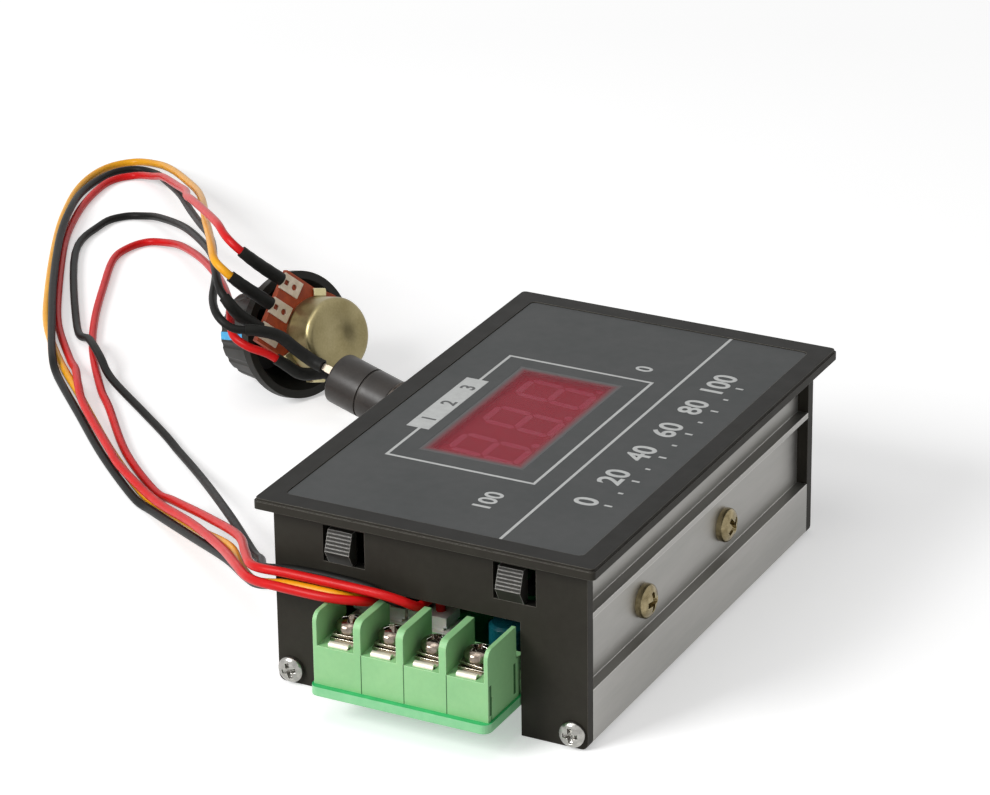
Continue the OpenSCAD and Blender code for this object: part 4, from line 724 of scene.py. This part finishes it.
def make_switch():
    """The grooved barrel, the threaded neck with its flange, and the spring of the button."""
    r, length, bore_r, floor = 4.9, 13, 3.6, 2.2
    body = ([(0, 0), (r - 0.5, 0)] + arc(r - 0.5, 0.5, 0.5, -90, 0, 4) + [(r, 6.95), (r - 0.3, 7.0),
            (r - 0.3, 7.4), (r, 7.45), (r, length - 0.15), (r - 0.15, length), (bore_r, length),
            (bore_r, floor), (0, floor)])
    piece("switch_barrel", *lathe(body, 72), switch_black, "case", "switch_black", place=SWITCH,
          stands_for=["switch_body"])
    r, z0, z1, flange, stem = 5.3, 13, 22, 6.4, 2.06
    turns = [(r, z) for z in steps(z0 + 0.3, z1 - 0.1, 60)]
    neck = [(stem, z0), (r - 0.3, z0)] + turns + [(r, z1)]
    rim = ([(flange - 0.1, z1), (flange, z1 + 0.1)] + arc(flange - 0.5, z1 + 1.1, 0.5, 0, 90, 4)
           + [(4, z1 + 1.6), (4, 19), (stem, 19)])
    part = lathe(neck + rim, 72, closed=True,
                 radius=lambda q, z, a: thread_wave(0.9, 0.3, z0 + 0.4, z1 - 0.2)(q, z, a)
                 if q == r else q)
    piece("switch_thread", *part, neck_metal, "case", "nickel_steel", place=SWITCH,
          stands_for=["switch_neck"])
    coils, per_coil, wire, radius, low, high = 7, 16, 0.25, 2.95, 2.5, 8.85
    count = coils * per_coil
    helix = [mm(radius * math.cos(a), radius * math.sin(a), low + (high - low) * i / count)
             for i, a in ((i, TAU * i / per_coil) for i in range(count + 1))]
    piece("switch_coil", *tube(helix, wire * MM, 6), spring_steel, "case", "spring_steel",
          place=SWITCH, stands_for=["switch_spring"])


make_pot()
make_switch()


# Print on the film, and the digits under the filter
BOLD = 0.03


def words(text, height, thick=0.01):
    """Upright characters in millimetres, centred on X with their foot at zero."""
    curve = bpy.data.curves.new("words", "FONT")
    curve.body, curve.align_x = text, "CENTER"
    curve.size = height / 0.72
    curve.extrude, curve.offset, curve.resolution_u = thick, height * BOLD, 6
    ob = bpy.data.objects.new("words", curve)
    bpy.context.scene.collection.objects.link(ob)
    bpy.context.view_layer.update()
    mesh = ob.evaluated_get(bpy.context.evaluated_depsgraph_get()).to_mesh()
    out = [v.co * MM for v in mesh.vertices], [list(p.vertices) for p in mesh.polygons]
    bpy.data.objects.remove(ob)
    bpy.data.curves.remove(curve)
    return out


def on_film(x, y, z):
    """A place whose reading direction is Y and whose up is towards the left side."""
    return Matrix.Translation(mm(x, y, z)) @ Matrix.Rotation(math.radians(90), 4, "Z")


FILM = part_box("overlay_panel")[1].z / MM
PRINT_T, PRINT_SINK = 0.015, 0.005


def bar(x0, x1, y0, y1):
    """A printed bar on the film."""
    return brick(x0, x1, y0, y1, FILM - PRINT_SINK, FILM + PRINT_T)


def make_print():
    """A frame round the display with a pale plate in it, a long line, a scale, and numbers."""
    left, right, front, back, line = -19.8, 8.2, -24.3, 21.8, 0.55
    plate, divider = (-22.1, -17.8, -12.4, 9.9), (12.1, 12.65, -45, 45)
    bars = [bar(left, left + line, front, plate[2]), bar(left, left + line, plate[3], back),
            bar(right - line, right, front, back),
            bar(left + line, right - line, front, front + line),
            bar(left + line, right - line, back - line, back), bar(*divider), bar(*plate)]
    tick, short, full, tick_y0, tick_y1, tick_pitch = 21.9, 22.8, 23.3, -26.6, -26.1, 5.2
    scale = [bar(tick, short if i % 2 else full, tick_y0 + tick_pitch * i,
                 tick_y1 + tick_pitch * i) for i in range(11)]
    foot, start, pitch, ends = 20.6, -26.3, 10.4, 5.6
    marks = [moved(words(str(20 * i), 4.2), on_film(foot, start + pitch * i, FILM + PRINT_SINK))
             for i in range(6)]
    marks += [moved(words("100", 3.3), on_film(ends, -33, FILM + PRINT_SINK)),
              moved(words("0", 3.1), on_film(ends, 26.4, FILM + PRINT_SINK))]
    piece("panel_print", *joined(bars + scale + marks), print_white, "case", "overlay_film")
    foot, start, pitch = -18.6, -8.4, 7.2
    marks = [moved(words(str(i + 1), 2.7), on_film(foot, start + pitch * i, FILM + PRINT_T))
             for i in range(3)]
    piece("panel_print_dark", *joined(marks), print_dark, "case", "overlay_film")


SEGMENT_GAP, DIGIT_T = 0.18, 0.05


def segment(x0, y0, x1, y1, w):
    """One bar of a digit, with pointed ends, flat in its own plane."""
    a, b = Vector((x0, y0, 0)), Vector((x1, y1, 0))
    d = (b - a).normalized()
    n = Vector((-d.y, d.x, 0)) * w / 2
    a, b = a + d * SEGMENT_GAP, b - d * SEGMENT_GAP
    ring = [a, a + d * w / 2 + n, b - d * w / 2 + n, b, b - d * w / 2 - n, a + d * w / 2 - n]
    verts = [(p + Vector((0, 0, z))) * MM for z in (0, DIGIT_T) for p in ring]
    faces = [[5, 4, 3, 2, 1, 0], [6, 7, 8, 9, 10, 11]]
    faces += [[k, (k + 1) % 6, 6 + (k + 1) % 6, 6 + k] for k in range(6)]
    return verts, faces


def make_digits():
    """Three slanted digits with all their segments, each with a round point."""
    low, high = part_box("led_display")
    middle = (low + high) / 2 / MM
    w, h, line, pitch, lean = 6.2, 12.8, 1.25, 12.4, 6
    dot_r, dot_x, dot_y = 0.75, 1.9, 0.1
    corners = [(-w / 2, 0), (w / 2, 0), (-w / 2, h / 2), (w / 2, h / 2), (-w / 2, h), (w / 2, h)]
    pairs = [(0, 1), (2, 3), (4, 5), (0, 2), (2, 4), (1, 3), (3, 5)]
    slant = Matrix.Identity(4)
    slant[0][1] = math.tan(math.radians(lean))
    dot = lathe([(0, 0), (dot_r, 0), (dot_r, DIGIT_T), (0, DIGIT_T)], 20)
    parts = []
    for k in (-1, 0, 1):
        place = on_film(middle.x + h / 2, middle.y + pitch * k, high.z / MM) @ slant
        parts += [moved(segment(*corners[a], *corners[b], line), place) for a, b in pairs]
        parts.append(moved(dot, place @ Matrix.Translation(mm(w / 2 + dot_x, dot_y, 0))))
    piece("display_digits", *joined(parts), segment_pale, "case", "display_body")


def make_block_groove_shade():
    """Painted shade: dark strips in the grooves between the moulded terminals at the front, and in
    two slots in the right end.
    """
    low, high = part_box("terminal_block")
    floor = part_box("main_board")[1].z / MM
    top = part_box("terminal_contacts")[1].z / MM
    pitch, wall, shade_half, sunk, proud = 7.8, 1.3, 0.08, 0.05, 0.01
    parts = [brick(x - shade_half, x + shade_half, low.y / MM - proud, low.y / MM + sunk, floor, top)
             for x in (pitch * (i - 2) + wall / 2 for i in (1, 2, 3))]
    right, half, foot, head, slots = high.x / MM, 0.35, 8.0, 13.4, (-55.9, -47.4)
    parts += [brick(right - sunk, right + proud, y - half, y + half, foot, head) for y in slots]
    piece("block_groove_shade", *joined(parts), groove_shade_green, "case", "terminal_green")


def make_contacts():
    """A strip with a rolled front edge in each bay, and the two loose plates above it."""
    low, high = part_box("terminal_contacts")
    front, back, top = low.y / MM, high.y / MM, high.z / MM
    width, thick, roll = 3.6, 0.4, 0.5
    rolled = [(front + roll + y, top + z) for y, z in arc(0, 0, roll, 190, 0, 8)]
    flat = [(front + 2 * roll + thick / 2, top - thick / 2), (back, top - thick / 2)]
    strip = sheet_strip(rolled + flat, thick, width)
    square, gap, bore = 5.0, 0.2, 1.53
    for i in range(1, 5):
        low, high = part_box("terminal_clamp_%d" % i)
        middle = (low + high) / 2 / MM
        turn = Matrix.Translation(mm(middle.x, 0, 0)) @ Matrix.Rotation(math.radians(90), 4, "Z")
        piece("contact_strip_%d" % i, *strip, contact_metal, "case", "tinned_metal", place=turn,
              stands_for=["terminal_contacts"])
        each = ((high.z - low.z) / MM - gap) / 2
        plates = []
        for k, (wide, degrees) in enumerate(((square + 0.2, 0), (square - 0.3, 7 - 4 * i))):
            z = low.z / MM + k * (each + gap)
            plate = cut(brick(-wide / 2, wide / 2, -wide / 2, wide / 2, z, z + each, 0.1),
                        lathe([(0, z - 1), (bore, z - 1), (bore, z + 2), (0, z + 2)], 32))
            plates.append(moved(plate, Matrix.Rotation(math.radians(degrees), 4, "Z")))
        piece("clamp_plates_%d" % i, *joined(plates), washer_metal, "clamp_%d" % i, "nickel_steel",
              place=Matrix.Translation(mm(middle.x, middle.y, 0)),
              stands_for=["terminal_clamp_%d" % i])


make_print()
make_digits()
make_block_groove_shade()
make_contacts()


# Floor, light and background
AMBIENT = 0.3


def floor_look():
    """Matt pale paper that is lifted a little for the camera, and more with distance."""
    m = bpy.data.materials.new("floor")
    m.use_nodes = True
    t = m.node_tree
    t.nodes.clear()
    seen = seen_as_background(t)
    coord = add(t, "ShaderNodeTexCoord").outputs["Object"]
    paper = add(t, "ShaderNodeTexNoise", {"Vector": coord, "Scale": 6.0}).outputs[0]
    tone = ramp(t, paper, [(0.3, srgb(232, 232, 232)), (0.7, srgb(236, 236, 236))])
    base = add(t, "ShaderNodeBsdfDiffuse", {"Color": tone}).outputs[0]
    away = add(t, "ShaderNodeVectorMath", {0: coord}, operation="LENGTH").outputs["Value"]
    lift = add(t, "ShaderNodeMapRange", {"Value": away, "From Min": 0.3, "From Max": 1.5,
                                         "To Min": 0.42, "To Max": 0.8}).outputs[0]
    lift = add(t, "ShaderNodeMath", {0: lift, 1: seen}, operation="MULTIPLY").outputs[0]
    lift = add(t, "ShaderNodeEmission", {"Color": (1, 1, 1, 1), "Strength": lift})
    both = add(t, "ShaderNodeAddShader", {0: base, 1: lift.outputs[0]}).outputs[0]
    add(t, "ShaderNodeOutputMaterial", {"Surface": both})
    return m


def seen_as_background(tree):
    """One for camera, glossy and transmission rays, and zero for the rays that light surfaces."""
    path = add(tree, "ShaderNodeLightPath")
    sums = add(tree, "ShaderNodeMath", {0: path.outputs["Is Camera Ray"],
                                        1: path.outputs["Is Glossy Ray"]}, operation="MAXIMUM")
    return add(tree, "ShaderNodeMath", {0: sums.outputs[0], 1: path.outputs["Is Transmission Ray"]},
               operation="MAXIMUM").outputs[0]


def make_stage():
    """The floor, and a world that is white to look at and dim as a light."""
    mesh = bpy.data.meshes.new("floor")
    reach = 4.0
    corners = [(-reach, -reach, 0), (reach, -reach, 0), (reach, reach, 0), (-reach, reach, 0)]
    mesh.from_pydata(corners, [], [(0, 1, 2, 3)])
    mesh.materials.append(floor_look())
    floor = bpy.data.objects.new("floor", mesh)
    bpy.context.scene.collection.objects.link(floor)
    floor.location.z = -0.0001
    world = bpy.data.worlds.new("world")
    bpy.context.scene.world = world
    world.use_nodes = True
    t = world.node_tree
    t.nodes.clear()
    level = spread(t, seen_as_background(t), AMBIENT, 1.0)
    back = add(t, "ShaderNodeBackground", {"Color": (1, 1, 1, 1), "Strength": level}).outputs[0]
    add(t, "ShaderNodeOutputWorld", {"Surface": back})


def lamp(name, place, aim, size, level):
    """A square area lamp that lights a white surface facing it at the aim to a level."""
    data = bpy.data.lights.new(name, "AREA")
    data.size = size
    gap = Vector(aim) - Vector(place)
    data.energy = level * (math.pi * gap.length) ** 2
    ob = bpy.data.objects.new(name, data)
    bpy.context.scene.collection.objects.link(ob)
    ob.location = place
    ob.rotation_euler = gap.to_track_quat("-Z", "Y").to_euler()


make_stage()
lamp("key", (-0.5, -0.8, 0.65), (-0.03, 0, 0.02), size=0.45, level=0.8)
lamp("fill", (-0.1, -0.3, 1.0), (0, 0, 0.02), size=0.5, level=0.16)
bpy.context.scene.view_settings.view_transform = "Standard"
